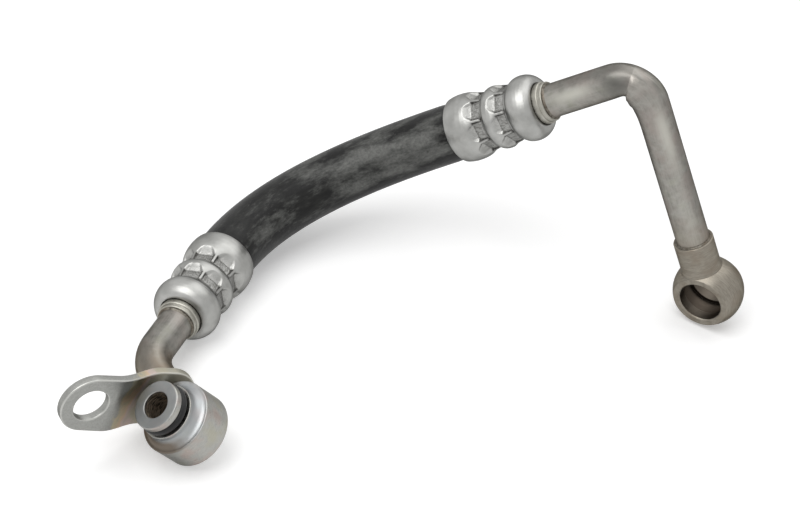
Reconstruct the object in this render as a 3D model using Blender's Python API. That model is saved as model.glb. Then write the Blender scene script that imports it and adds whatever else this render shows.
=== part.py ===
"""Oil feed line of a turbocharger, modelled as it comes to rest on a surface at z = 0.

From one end to the other it is: a turned end fitting with an O-ring on its nose, held by a
bolt-on bracket; a bent inlet pipe; a nipple and a crimped ferrule; a rubber hose; a second
ferrule and nipple; a bent outlet pipe; and a banjo eye.  Lengths are in metres, +Z is up.
Every turned piece is drawn about its own Z axis and then placed on the route of the line.
"""
import math

import bmesh
import bpy
from mathutils import Matrix, Vector

MM = 0.001
UP = Vector((0.0, 0.0, 1.0))

# Clearances
JOINT_GAP = 0.3 * MM            # around every brazed, pressed or crimped joint
BARB_GAP = 0.3 * MM             # between the nipple's barbs and the bore of the hose

# Steel pipe, the same stock at both ends
PIPE_OD = 8.0 * MM
PIPE_WALL = 1.0 * MM
INLET_BEND_RADIUS = 12.0 * MM   # centre line
OUTLET_BEND_RADIUS = 6.5 * MM

# Rubber hose
HOSE_OD = 14.0 * MM
HOSE_BORE = 8.0 * MM
HOSE_NIPPED_OD = 13.6 * MM      # at the lip of each ferrule and inside its bell
HOSE_CRIMPED_OD = 10.8 * MM     # squeezed under the crimps

# Crimped ferrule, measured along its axis from its hose mouth
FERRULE_LENGTH = 23.0 * MM
FERRULE_MOUTH_WALL = 0.4 * MM
FERRULE_BELL_OD = 16.3 * MM
FERRULE_BELL_START = 2.0 * MM
FERRULE_BELL_END = 4.8 * MM
FERRULE_BULGE_OD = 15.2 * MM    # between the two rings of crimps
FERRULE_COLLAR_OD = 15.7 * MM
FERRULE_COLLAR_LENGTH = 5.6 * MM
FERRULE_CREST_TO_END = 3.5 * MM  # from the widest part of the collar to the end face
FERRULE_END_WALL = 1.4 * MM
CRIMP_PLACES = (8.4 * MM, 15.0 * MM)
CRIMP_LENGTH = 2.4 * MM
CRIMP_RAMP = 0.9 * MM
CRIMP_FLAT_DISTANCE = 6.5 * MM  # from the axis to each pressed pad
CRIMP_RIDGE_OD = 13.8 * MM
CRIMP_JAWS = 8
CRIMP_PAD_HALF_ANGLE = math.radians(16.0)
CRIMP_RIDGE_HALF_ANGLE = math.radians(19.8)
INLET_CRIMP_TURN = math.radians(13.1)   # of the first pad about the ferrule, from the top
OUTLET_CRIMP_TURN = math.radians(37.1)

# Nipple: a barbed stem in the hose, and a stepped collar that shows past the ferrule
NIPPLE_BORE = 4.6 * MM
NIPPLE_COLLAR_OD = 10.0 * MM
NIPPLE_COLLAR_SHOWS = 1.4 * MM
NIPPLE_STEP_OD = 9.4 * MM
NIPPLE_STEP_SHOWS = 1.0 * MM
NIPPLE_SOCKET_DEPTH = 2.6 * MM
NIPPLE_STEM_LENGTH = 17.0 * MM
NIPPLE_BARBS = 4
NIPPLE_BARB_DEPTH = 0.5 * MM

# Banjo eye for an M10 hollow bolt
BANJO_BALL_OD = 17.0 * MM
BANJO_HOLE = 10.4 * MM
BANJO_WIDTH = 10.2 * MM
BANJO_RECESS_OD = 12.0 * MM
BANJO_RECESS_WIDTH = 4.4 * MM
BANJO_NECK_OD = 9.6 * MM
BANJO_NECK_REACH = 15.2 * MM    # from the centre of the ball to the neck's mouth
BANJO_SOCKET_DEPTH = 6.0 * MM
BANJO_OIL_HOLE = 5.0 * MM
BANJO_EDGE = 0.3 * MM

# End fitting, measured along its axis from the front of the nose
NOSE_OD = 10.9 * MM
NOSE_BORE = 5.8 * MM
NOSE_EDGE = 0.35 * MM
NOSE_LAND = 1.6 * MM            # front face to O-ring groove
GROOVE_WIDTH = 2.3 * MM
GROOVE_DEPTH = 1.85 * MM
O_RING_OD = 11.4 * MM
O_RING_SECTION = 1.75 * MM
SHOULDER_OD = 12.0 * MM
SHOULDER_WIDTH = 0.8 * MM
COVE_DEPTH = 2.2 * MM           # the hollow flare from the shoulder out to the rim
RIM_EDGE = 0.3 * MM
BODY_OD = 16.2 * MM
BODY_LENGTH = 7.8 * MM          # front rim to back face
BODY_BACK_EDGE = 0.3 * MM
PIPE_BEHIND_RIM = 4.6 * MM      # where the pipe's axis crosses the body
BORE_PAST_PIPE = 1.7 * MM
BODY_CROSS_BORE = 4.6 * MM

# Fixing bracket: a punched plate with a shallow joggle
BRACKET_THICKNESS = 2.0 * MM
BRACKET_PIPE_END_RADIUS = 7.1 * MM
BRACKET_PIPE_END_OFFSET = 1.8 * MM  # of that round end from the pipe, towards the lug
BRACKET_LUG_RADIUS = 6.75 * MM
BRACKET_HOLE_SPACING = 21.5 * MM
BRACKET_BOLT_HOLE = 7.7 * MM
BRACKET_JOGGLE = 3.3 * MM
BRACKET_JOGGLE_START = 4.8 * MM
BRACKET_JOGGLE_END = 16.8 * MM
BRACKET_EDGE = 0.3 * MM
BRACKET_ANGLE = math.radians(26.0)  # of the lug, from the nose's axis

# The route.  A mouth is the centre of a ferrule's pipe end; a way is a (heading, pitch) pair.
HOSE_RUN = 72.45 * MM           # from the inlet's mouth to the outlet's: along X,
HOSE_OFFSET = 50.2 * MM         # along Y
HOSE_RISE = 39.35 * MM          # and upwards
INLET_BACK = 55.66 * MM         # of the inlet's mouth from the centre of the footprint
INLET_ASIDE = 8.94 * MM
INLET_HEIGHT = 8.15 * MM
INLET_MOUTH = Vector((-INLET_BACK, -INLET_ASIDE, INLET_HEIGHT))
INLET_WAY = (-103.4, 0.0)
INLET_LEG = 11.0 * MM
BODY_WAY = (-54.1, 0.0)         # the inlet pipe's last leg, into the side of the body
BODY_LEG = 15.9 * MM            # from the bend to the body's axis
NOSE_TILT = math.radians(41.8)  # of the nose's axis, from upright
OUTLET_MOUTH = INLET_MOUTH + Vector((HOSE_RUN, HOSE_OFFSET, HOSE_RISE))
OUTLET_WAY = (-14.6, 38.4)
OUTLET_LEG = 18.5 * MM
BANJO_WAY = (-6.8, -63.7)       # the outlet pipe's last leg, down to the banjo
BANJO_LEG = 53.8 * MM           # from the bend to the centre of the ball
BANJO_ROLL = math.radians(18.0)  # of the eye about the pipe, from level
HOSE_PULL_INLET = 82.4 * MM     # lengths of the end handles that shape the free hose
HOSE_PULL_OUTLET = 69.2 * MM

# Fineness of the round shapes
PIPE_SIDES = 24
BORE_SIDES = 16
TURNED_SIDES = 40
HOSE_STATIONS = 22
BEND_STEP = math.radians(9.0)
BALL_ARC_STEPS = 7
COVE_STEPS = 4
O_RING_SIDES = 12
BRACKET_ARC_STEPS = 10

# Colour, roughness and metallic value of each material
FINISHES = {
    "turned_steel": ((0.42, 0.42, 0.41, 1.0), 0.32, 1.0),
    "zinc_plate": ((0.46, 0.46, 0.45, 1.0), 0.38, 1.0),
    "pipe_steel": ((0.33, 0.32, 0.30, 1.0), 0.42, 1.0),
    "ferrule_alloy": ((0.56, 0.56, 0.55, 1.0), 0.40, 1.0),
    "nipple_steel": ((0.47, 0.45, 0.41, 1.0), 0.36, 1.0),
    "banjo_steel": ((0.30, 0.28, 0.25, 1.0), 0.45, 1.0),
    "hose_rubber": ((0.025, 0.026, 0.026, 1.0), 0.62, 0.0),
    "seal_rubber": ((0.012, 0.012, 0.013, 1.0), 0.50, 0.0),
}


def clear_scene():
    """Remove every object that the file opened with."""
    for old in list(bpy.data.objects):
        bpy.data.objects.remove(old, do_unlink=True)


def material(name):
    """A Principled material with the finish listed under its name."""
    colour, roughness, metallic = FINISHES[name]
    mat = bpy.data.materials.new(name)
    mat.use_nodes = True
    shader = mat.node_tree.nodes["Principled BSDF"]
    shader.inputs["Base Color"].default_value = colour
    shader.inputs["Roughness"].default_value = roughness
    shader.inputs["Metallic"].default_value = metallic
    return mat


def direction(way):
    """Unit vector of a (heading, pitch) pair in degrees; heading 0 is +X, pitch 90 is up."""
    heading, pitch = math.radians(way[0]), math.radians(way[1])
    flat = math.cos(pitch)
    return Vector((flat * math.cos(heading), flat * math.sin(heading), math.sin(pitch)))


def place(origin, axis, sideways):
    """Matrix of a frame with its Z along axis and its X as near to sideways as it can be."""
    x = (sideways - axis * sideways.dot(axis)).normalized()
    y = axis.cross(x)
    return Matrix.Translation(origin) @ Matrix((x, y, axis)).transposed().to_4x4()


def add_object(name, bm, mat, matrix=None):
    """Turn a bmesh into a shaded object."""
    bmesh.ops.recalc_face_normals(bm, faces=bm.faces)
    mesh = bpy.data.meshes.new(name)
    bm.to_mesh(mesh)
    bm.free()
    mesh.shade_smooth()
    mesh.set_sharp_from_angle(angle=math.radians(35.0))
    obj = bpy.data.objects.new(name, mesh)
    bpy.context.scene.collection.objects.link(obj)
    if matrix is not None:
        obj.matrix_world = matrix
    if mat is not None:
        mesh.materials.append(mat)
    return obj


def spun(profile, sides=TURNED_SIDES):
    """Bmesh of a turned piece: a profile of (radius, height) points carried round Z.

    A profile that starts and ends on the axis closes there; any other one is a closed loop.
    """
    bm = bmesh.new()
    verts = [bm.verts.new((radius, 0.0, height)) for radius, height in profile]
    pairs = list(zip(verts, verts[1:]))
    if profile[0][0] > 0.0:
        pairs.append((verts[-1], verts[0]))
    edges = [bm.edges.new(pair) for pair in pairs]
    bmesh.ops.spin(bm, geom=verts + edges, axis=UP, cent=(0.0, 0.0, 0.0),
                   steps=sides, angle=2.0 * math.pi)
    bmesh.ops.remove_doubles(bm, verts=bm.verts, dist=0.001 * MM)
    return bm


def rod(name, radius, start, end, matrix, sides=TURNED_SIDES):
    """A hidden cutter: a plain cylinder along the local X axis of matrix."""
    bm = bmesh.new()
    lie_down = Matrix.Rotation(math.pi / 2.0, 4, "Y")
    middle = Matrix.Translation(((start + end) / 2.0, 0.0, 0.0))
    bmesh.ops.create_cone(bm, cap_ends=True, segments=sides, radius1=radius, radius2=radius,
                          depth=end - start, matrix=middle @ lie_down)
    cutter = add_object(name, bm, None, matrix)
    cutter.hide_render = True
    cutter.display_type = "WIRE"
    return cutter


def combine(obj, other, operation):
    """Add an exact Boolean of another object to obj."""
    step = obj.modifiers.new(other.name, "BOOLEAN")
    step.operation = operation
    step.solver = "EXACT"
    step.object = other


def bend(start, way_in, way_out, radius):
    """Stations (point, tangent) of an arc that turns from one way to the other."""
    angle = way_in.angle(way_out)
    inward = (way_out - way_in * way_in.dot(way_out)).normalized()
    steps = max(2, math.ceil(angle / BEND_STEP))
    stations = []
    for i in range(steps + 1):
        turn = angle * i / steps
        offset = way_in * math.sin(turn) + inward * (1.0 - math.cos(turn))
        tangent = way_in * math.cos(turn) + inward * math.sin(turn)
        stations.append((start + offset * radius, tangent))
    return stations


def swept(name, stations, radii, bore_radius, mat):
    """A hollow tube through the stations, with an outer radius at each one.

    The rings start at the same side of the tube and are carried along without twist.
    """
    bm = bmesh.new()
    side = stations[0][1].orthogonal().normalized()
    outer, inner = [], []
    for (point, tangent), radius in zip(stations, radii):
        side = (side - tangent * side.dot(tangent)).normalized()
        other = tangent.cross(side)
        spokes = []
        for i in range(PIPE_SIDES):
            turn = 2.0 * math.pi * i / PIPE_SIDES
            spokes.append(side * math.cos(turn) + other * math.sin(turn))
        outer.append([bm.verts.new(point + spoke * radius) for spoke in spokes])
        inner.append([bm.verts.new(point + spoke * bore_radius) for spoke in spokes])
    loop = outer + inner[::-1]
    for ring, following in zip(loop, loop[1:] + loop[:1]):
        for i, vert in enumerate(ring):
            j = (i + 1) % PIPE_SIDES
            bm.faces.new((vert, ring[j], following[j], following[i]))
    return add_object(name, bm, mat)


def pipe(name, stations, mat):
    """A length of the steel pipe."""
    return swept(name, stations, [PIPE_OD / 2.0] * len(stations), PIPE_OD / 2.0 - PIPE_WALL, mat)


def nipple(name, mouth, way, mat):
    """The turned insert: collar at the ferrule's pipe end, barbed stem in the hose.

    Its own Z axis points out of the hose, and its origin is the centre of the mouth.
    """
    bore, socket = NIPPLE_BORE / 2.0, PIPE_OD / 2.0 + JOINT_GAP
    barb = HOSE_BORE / 2.0 - BARB_GAP
    collar, step = NIPPLE_COLLAR_OD / 2.0, NIPPLE_STEP_OD / 2.0
    collar_top = NIPPLE_COLLAR_SHOWS
    top = collar_top + NIPPLE_STEP_SHOWS
    collar_foot = JOINT_GAP - FERRULE_END_WALL
    profile = [(socket, top), (step, top), (step, collar_top), (collar, collar_top),
               (collar, collar_foot), (barb, collar_foot)]
    pitch = NIPPLE_STEM_LENGTH / NIPPLE_BARBS
    for i in range(NIPPLE_BARBS):
        foot = collar_foot - pitch * (i + 1)
        profile.append((barb, foot + pitch / 3.0))
        profile.append((barb - NIPPLE_BARB_DEPTH, foot))
        if i < NIPPLE_BARBS - 1:
            profile.append((barb, foot))
    profile += [(bore, collar_foot - NIPPLE_STEM_LENGTH), (bore, top - NIPPLE_SOCKET_DEPTH),
                (socket, top - NIPPLE_SOCKET_DEPTH)]
    return add_object(name, spun(profile, PIPE_SIDES), mat, place(mouth, way, UP))


def hose_radius(depth):
    """Outer radius of the hose at a depth inside a ferrule, squeezed past the bell."""
    nipped, squeezed = HOSE_NIPPED_OD / 2.0, HOSE_CRIMPED_OD / 2.0
    start, end = FERRULE_BELL_END, CRIMP_PLACES[0] - CRIMP_LENGTH / 2.0
    share = min(max((depth - start) / (end - start), 0.0), 1.0)
    return nipped + (squeezed - nipped) * share


def ferrule(name, mouth, way, crimp_turn, mat):
    """The crimped sleeve; its own Z axis points out of the hose from its pipe end."""
    length = FERRULE_LENGTH
    ridge = CRIMP_RIDGE_OD / 2.0
    collar_start = length - FERRULE_COLLAR_LENGTH
    collar = FERRULE_COLLAR_OD / 2.0
    bell = FERRULE_BELL_OD / 2.0
    bulge = FERRULE_BULGE_OD / 2.0
    lip = NIPPLE_COLLAR_OD / 2.0 + JOINT_GAP
    mouth_inner = HOSE_NIPPED_OD / 2.0 + JOINT_GAP
    outer = [(mouth_inner + FERRULE_MOUTH_WALL, 0.0),
             (bell - 0.3 * (bell - mouth_inner), 0.35 * FERRULE_BELL_START),
             (bell, FERRULE_BELL_START), (bell, 0.5 * (FERRULE_BELL_START + FERRULE_BELL_END)),
             (0.5 * (bell + bulge), FERRULE_BELL_END)]
    for i, place_along in enumerate(CRIMP_PLACES):
        half = CRIMP_LENGTH / 2.0
        outer += [(bulge, place_along - half - CRIMP_RAMP), (ridge, place_along - half),
                  (ridge, place_along + half)]
        if i == 0:
            outer += [(bulge, place_along + half + CRIMP_RAMP)]
    crest = length - FERRULE_CREST_TO_END
    foot = lip + 0.35 * MM
    for i in range(3):
        turn = math.pi / 2.0 * i / 2.0
        outer.append((ridge + (collar - ridge) * math.sin(turn),
                      crest - (crest - collar_start) * math.cos(turn)))
    for i in range(1, 5):
        turn = math.pi / 2.0 * i / 4.0
        outer.append((foot + (collar - foot) * math.cos(turn),
                      crest + FERRULE_CREST_TO_END * math.sin(turn)))
    inside_end = length - FERRULE_END_WALL
    squeeze_start, squeeze_end = FERRULE_BELL_END, CRIMP_PLACES[0] - CRIMP_LENGTH / 2.0
    inner = [(lip, length), (lip, inside_end)]
    for depth in (inside_end, squeeze_end, squeeze_start, 0.0):
        inner.append((hose_radius(depth) + JOINT_GAP, depth))
    profile = [(radius, along - length) for radius, along in outer + inner]
    bm = spun_between(profile, jaw_angles())
    press_pads(bm)
    matrix = place(mouth, way, UP) @ Matrix.Rotation(crimp_turn, 4, "Z")
    return add_object(name, bm, mat, matrix)


def jaw_angles():
    """Angles of the ferrule's edges: two on each pad and two on each ridge."""
    angles = []
    for jaw in range(CRIMP_JAWS):
        middle = 2.0 * math.pi * jaw / CRIMP_JAWS
        for offset in (-CRIMP_PAD_HALF_ANGLE, CRIMP_PAD_HALF_ANGLE, CRIMP_RIDGE_HALF_ANGLE):
            angles.append(middle + offset)
        angles.append(middle + 2.0 * math.pi / CRIMP_JAWS - CRIMP_RIDGE_HALF_ANGLE)
    return angles


def spun_between(profile, angles):
    """Bmesh of a closed profile carried round Z, with an edge at each of the angles."""
    bm = bmesh.new()
    rings = []
    for angle in angles:
        rings.append([bm.verts.new((radius * math.cos(angle), radius * math.sin(angle), height))
                      for radius, height in profile])
    for i, ring in enumerate(rings):
        following = rings[(i + 1) % len(rings)]
        for j, vert in enumerate(ring):
            k = (j + 1) % len(ring)
            bm.faces.new((vert, ring[k], following[k], following[j]))
    return bm


def press_pads(bm):
    """Press the flat pads of the jaws into the ferrule's two crimp rings."""
    ridge = CRIMP_RIDGE_OD / 2.0
    for vert in bm.verts:
        radius = math.hypot(vert.co.x, vert.co.y)
        along = vert.co.z + FERRULE_LENGTH
        on_ring = any(abs(along - middle) < 0.51 * CRIMP_LENGTH for middle in CRIMP_PLACES)
        if not on_ring or abs(radius - ridge) > 0.01 * MM:
            continue
        pitch = 2.0 * math.pi / CRIMP_JAWS
        angle = math.atan2(vert.co.y, vert.co.x)
        from_pad = abs((angle + pitch / 2.0) % pitch - pitch / 2.0)
        if from_pad < 1.01 * CRIMP_PAD_HALF_ANGLE:
            pressed = CRIMP_FLAT_DISTANCE / math.cos(from_pad)
            vert.co.x *= pressed / radius
            vert.co.y *= pressed / radius


def hose(name, inlet_mouth, inlet_way, outlet_mouth, outlet_way, mat):
    """The rubber hose, straight inside each ferrule and free between them.

    The free stretch is a cubic with a handle along each ferrule's axis.
    """
    hidden = FERRULE_LENGTH - FERRULE_END_WALL - JOINT_GAP
    start = inlet_mouth - inlet_way * FERRULE_LENGTH
    end = outlet_mouth - outlet_way * FERRULE_LENGTH
    depths = [hidden, CRIMP_PLACES[0] - CRIMP_LENGTH / 2.0, FERRULE_BELL_END]
    stations = [(start + inlet_way * depth, -inlet_way) for depth in depths]
    radii = [hose_radius(depth) for depth in depths]
    handles = (-inlet_way * HOSE_PULL_INLET, outlet_way * HOSE_PULL_OUTLET)
    for i in range(HOSE_STATIONS + 1):
        t = i / HOSE_STATIONS
        point = (start * (2 * t ** 3 - 3 * t ** 2 + 1) + handles[0] * (t ** 3 - 2 * t ** 2 + t)
                 + end * (3 * t ** 2 - 2 * t ** 3) + handles[1] * (t ** 3 - t ** 2))
        tangent = (start * (6 * t ** 2 - 6 * t) + handles[0] * (3 * t ** 2 - 4 * t + 1)
                   + end * (6 * t - 6 * t ** 2) + handles[1] * (3 * t ** 2 - 2 * t))
        stations.append((point, tangent.normalized()))
        at_a_lip = i in (0, HOSE_STATIONS)
        radii.append(hose_radius(0.0) if at_a_lip else HOSE_OD / 2.0)
    stations += [(end + outlet_way * depth, outlet_way) for depth in reversed(depths)]
    radii += [hose_radius(depth) for depth in reversed(depths)]
    return swept(name, stations, radii, HOSE_BORE / 2.0, mat)


def banjo(name, centre, pipe_way, hole_way, mat):
    """The banjo eye: a ball with two flat faces, and a socket neck towards the pipe."""
    ball, hole = BANJO_BALL_OD / 2.0, BANJO_HOLE / 2.0
    half, recess = BANJO_WIDTH / 2.0, BANJO_RECESS_OD / 2.0
    recess_half = BANJO_RECESS_WIDTH / 2.0
    latitude = math.asin(half / ball)
    profile = []
    for i in range(BALL_ARC_STEPS + 1):
        turn = latitude * (1.0 - 2.0 * i / BALL_ARC_STEPS)
        profile.append((ball * math.cos(turn), ball * math.sin(turn)))
    profile += [(hole + BANJO_EDGE, -half), (hole, BANJO_EDGE - half), (hole, -recess_half),
                (recess, -recess_half), (recess, recess_half), (hole, recess_half),
                (hole, half - BANJO_EDGE), (hole + BANJO_EDGE, half)]
    matrix = place(centre, hole_way, -pipe_way)
    eye = add_object(name, spun(profile), mat, matrix)
    neck_foot = recess + 0.5 * MM
    neck = rod("banjo_neck_blank", BANJO_NECK_OD / 2.0, neck_foot, BANJO_NECK_REACH, matrix)
    socket_foot = BANJO_NECK_REACH - BANJO_SOCKET_DEPTH
    past = BANJO_NECK_REACH + 1.0 * MM
    socket = rod("banjo_socket_cutter", PIPE_OD / 2.0 + JOINT_GAP, socket_foot, past, matrix)
    oil_hole = rod("banjo_oil_hole_cutter", BANJO_OIL_HOLE / 2.0, 0.0, past, matrix, BORE_SIDES)
    combine(eye, neck, "UNION")
    combine(eye, socket, "DIFFERENCE")
    combine(eye, oil_hole, "DIFFERENCE")
    return eye


def end_fitting(name, crossing, nose_way, pipe_way, mat):
    """The turned body with its grooved nose; the pipe enters its side at the crossing."""
    nose, bore, body = NOSE_OD / 2.0, NOSE_BORE / 2.0, BODY_OD / 2.0
    groove, shoulder = nose - GROOVE_DEPTH, SHOULDER_OD / 2.0
    groove_end = NOSE_LAND + GROOVE_WIDTH
    shoulder_end = groove_end + SHOULDER_WIDTH
    rim = body - RIM_EDGE
    outer = [(bore + NOSE_EDGE, 0.0), (nose - NOSE_EDGE, 0.0), (nose, NOSE_EDGE),
             (nose, NOSE_LAND), (groove, NOSE_LAND), (groove, groove_end), (shoulder, groove_end)]
    for i in range(COVE_STEPS + 1):
        turn = math.pi / 2.0 * i / COVE_STEPS
        outer.append((shoulder + (rim - shoulder) * (1.0 - math.cos(turn)),
                      shoulder_end + COVE_DEPTH * math.sin(turn)))
    front_rim = shoulder_end + COVE_DEPTH + RIM_EDGE
    back = front_rim + BODY_LENGTH
    outer += [(body, front_rim), (body, back - BODY_BACK_EDGE), (body - BODY_BACK_EDGE, back),
              (0.0, back)]
    bore_end = front_rim + PIPE_BEHIND_RIM + BORE_PAST_PIPE
    profile = [(0.0, bore_end), (bore, bore_end), (bore, NOSE_EDGE)] + outer
    reach = front_rim + PIPE_BEHIND_RIM
    matrix = place(crossing, nose_way, -pipe_way)
    fitting = add_object(name, spun([(radius, reach - along) for radius, along in profile]), mat, matrix)
    past = body + 1.0 * MM
    cross = rod("body_cross_bore_cutter", BODY_CROSS_BORE / 2.0, 0.0, past, matrix, BORE_SIDES)
    combine(fitting, cross, "DIFFERENCE")
    return fitting, reach


def o_ring(name, nose_front, nose_way, mat):
    """The sealing ring in the middle of its groove."""
    section = O_RING_SECTION / 2.0
    middle = O_RING_OD / 2.0 - section
    height = -(NOSE_LAND + GROOVE_WIDTH / 2.0)
    profile = []
    for i in range(O_RING_SIDES):
        turn = -2.0 * math.pi * i / O_RING_SIDES
        profile.append((middle + section * math.cos(turn), height + section * math.sin(turn)))
    return add_object(name, spun(profile), mat, place(nose_front, nose_way, UP))


def bracket_outline():
    """Stations (along, half width) of the plate, from its pipe end to its lug end.

    The two round ends are joined by the straight lines that touch both.
    """
    big, small, first_centre = BRACKET_PIPE_END_RADIUS, BRACKET_LUG_RADIUS, BRACKET_PIPE_END_OFFSET
    spacing = BRACKET_HOLE_SPACING - first_centre
    lean = math.acos((big - small) / spacing)
    stations = []
    for i in range(1, BRACKET_ARC_STEPS + 1):
        turn = math.pi - (math.pi - lean) * i / BRACKET_ARC_STEPS
        stations.append((first_centre + big * math.cos(turn), big * math.sin(turn)))
    first = stations[-1]
    last = (BRACKET_HOLE_SPACING + small * math.cos(lean), small * math.sin(lean))
    for i in range(BRACKET_ARC_STEPS + 1):
        share = i / BRACKET_ARC_STEPS
        along = BRACKET_JOGGLE_START + (BRACKET_JOGGLE_END - BRACKET_JOGGLE_START) * share
        taper = (along - first[0]) / (last[0] - first[0])
        stations.append((along, first[1] + (last[1] - first[1]) * taper))
    stations.append(last)
    for i in range(1, BRACKET_ARC_STEPS):
        turn = lean * (1.0 - i / BRACKET_ARC_STEPS)
        stations.append((BRACKET_HOLE_SPACING + small * math.cos(turn), small * math.sin(turn)))
    return stations


def joggle(along):
    """Offset of the plate out of its plane, a smooth step between start and end."""
    share = (along - BRACKET_JOGGLE_START) / (BRACKET_JOGGLE_END - BRACKET_JOGGLE_START)
    share = min(max(share, 0.0), 1.0)
    return BRACKET_JOGGLE * (3.0 * share ** 2 - 2.0 * share ** 3)


def bracket(name, crossing, pipe_way, nose_way, mat):
    """The fixing bracket, brazed between the pipe and the side of the body.

    Its own Z axis runs along the pipe into the body, and its X axis to the lug.
    """
    lug_way = Matrix.Rotation(BRACKET_ANGLE, 3, pipe_way) @ nose_way
    face = crossing - pipe_way * (BODY_OD / 2.0 + JOINT_GAP)
    matrix = place(face, pipe_way, lug_way)
    bm = bmesh.new()
    rows = []
    ends = [(BRACKET_PIPE_END_OFFSET - BRACKET_PIPE_END_RADIUS, 0.0),
            (BRACKET_HOLE_SPACING + BRACKET_LUG_RADIUS, 0.0)]
    for along, half in [ends[0]] + bracket_outline() + [ends[1]]:
        lift = joggle(along)
        row = []
        for height in (lift, lift - BRACKET_THICKNESS):
            sides = (-half, half) if half > 0.0 else (0.0,)
            row.append([bm.verts.new((along, side, height)) for side in sides])
        rows.append(row)
    for row, following in zip(rows, rows[1:]):
        for level in (0, 1):
            corners = row[level] + following[level][::-1]
            bm.faces.new(corners)
        for side in (0, -1):
            bm.faces.new((row[0][side], row[1][side], following[1][side], following[0][side]))
    plate = add_object(name, bm, mat, matrix)
    soften = plate.modifiers.new("edge", "BEVEL")
    soften.width = BRACKET_EDGE
    soften.segments = 2
    soften.limit_method = "ANGLE"
    soften.angle_limit = math.radians(60.0)
    upright = matrix @ Matrix.Rotation(-math.pi / 2.0, 4, "Y")
    reach = 4.0 * BRACKET_THICKNESS
    pipe_hole = rod("bracket_pipe_hole_cutter", PIPE_OD / 2.0 + JOINT_GAP, -reach, reach, upright)
    lug_matrix = matrix @ Matrix.Translation((BRACKET_HOLE_SPACING, 0.0, 0.0))
    bolt_hole = rod("bracket_bolt_hole_cutter", BRACKET_BOLT_HOLE / 2.0, -reach, reach,
                    lug_matrix @ Matrix.Rotation(-math.pi / 2.0, 4, "Y"))
    combine(plate, pipe_hole, "DIFFERENCE")
    combine(plate, bolt_hole, "DIFFERENCE")
    return plate


def main():
    clear_scene()
    mats = {name: material(name) for name in FINISHES}

    inlet_way, body_way = direction(INLET_WAY), direction(BODY_WAY)
    bend_start = INLET_MOUTH + inlet_way * INLET_LEG
    inlet_arc = bend(bend_start, inlet_way, body_way, INLET_BEND_RADIUS)
    crossing = inlet_arc[-1][0] + body_way * BODY_LEG
    level = UP.cross(body_way).normalized()
    upright = body_way.cross(level)
    nose_way = upright * math.cos(NOSE_TILT) - level * math.sin(NOSE_TILT)
    fitting, nose_reach = end_fitting("end_fitting", crossing, nose_way, body_way, mats["turned_steel"])
    o_ring("o_ring", crossing + nose_way * nose_reach, nose_way, mats["seal_rubber"])
    bracket("fixing_bracket", crossing, body_way, nose_way, mats["zinc_plate"])

    in_nipple = NIPPLE_COLLAR_SHOWS + NIPPLE_STEP_SHOWS - NIPPLE_SOCKET_DEPTH + JOINT_GAP
    inlet_end = crossing - body_way * (BODY_OD / 2.0 + JOINT_GAP)
    pipe("inlet_pipe", [(INLET_MOUTH + inlet_way * in_nipple, inlet_way)] + inlet_arc
         + [(inlet_end, body_way)], mats["pipe_steel"])
    nipple("inlet_nipple", INLET_MOUTH, inlet_way, mats["nipple_steel"])
    ferrule("inlet_ferrule", INLET_MOUTH, inlet_way, INLET_CRIMP_TURN, mats["ferrule_alloy"])

    outlet_way, banjo_way = direction(OUTLET_WAY), direction(BANJO_WAY)
    bend_start = OUTLET_MOUTH + outlet_way * OUTLET_LEG
    outlet_arc = bend(bend_start, outlet_way, banjo_way, OUTLET_BEND_RADIUS)
    ball_centre = outlet_arc[-1][0] + banjo_way * BANJO_LEG
    level = UP.cross(banjo_way).normalized()
    upright = banjo_way.cross(level)
    hole_way = level * math.cos(BANJO_ROLL) + upright * math.sin(BANJO_ROLL)
    banjo("banjo_fitting", ball_centre, banjo_way, hole_way, mats["banjo_steel"])
    outlet_end = ball_centre - banjo_way * (BANJO_NECK_REACH - BANJO_SOCKET_DEPTH + JOINT_GAP)
    pipe("outlet_pipe", [(OUTLET_MOUTH + outlet_way * in_nipple, outlet_way)] + outlet_arc
         + [(outlet_end, banjo_way)], mats["pipe_steel"])
    nipple("outlet_nipple", OUTLET_MOUTH, outlet_way, mats["nipple_steel"])
    ferrule("outlet_ferrule", OUTLET_MOUTH, outlet_way, OUTLET_CRIMP_TURN,
            mats["ferrule_alloy"])

    hose("rubber_hose", INLET_MOUTH, inlet_way, OUTLET_MOUTH, outlet_way, mats["hose_rubber"])


main()
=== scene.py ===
import math

import bmesh
import bpy
import numpy as np
from mathutils import Matrix


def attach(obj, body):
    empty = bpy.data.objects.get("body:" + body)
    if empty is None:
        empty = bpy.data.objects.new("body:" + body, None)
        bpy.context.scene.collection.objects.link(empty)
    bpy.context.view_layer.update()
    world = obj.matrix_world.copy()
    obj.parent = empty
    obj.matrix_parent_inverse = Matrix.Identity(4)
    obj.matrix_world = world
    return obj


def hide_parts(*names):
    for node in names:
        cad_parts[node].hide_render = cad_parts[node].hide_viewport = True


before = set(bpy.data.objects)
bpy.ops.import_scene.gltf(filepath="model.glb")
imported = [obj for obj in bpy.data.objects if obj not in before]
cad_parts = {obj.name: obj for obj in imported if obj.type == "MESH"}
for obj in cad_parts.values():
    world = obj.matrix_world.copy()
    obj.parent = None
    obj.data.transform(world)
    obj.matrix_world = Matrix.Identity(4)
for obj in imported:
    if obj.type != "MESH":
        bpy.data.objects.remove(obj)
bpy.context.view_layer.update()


# End fitting
# The turned steel body at the turbocharger's end. Its nose plugs into an oil port, and a cove
# runs out from the nose's shoulder to the rim of the body. Turned from bar in one piece.

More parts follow.
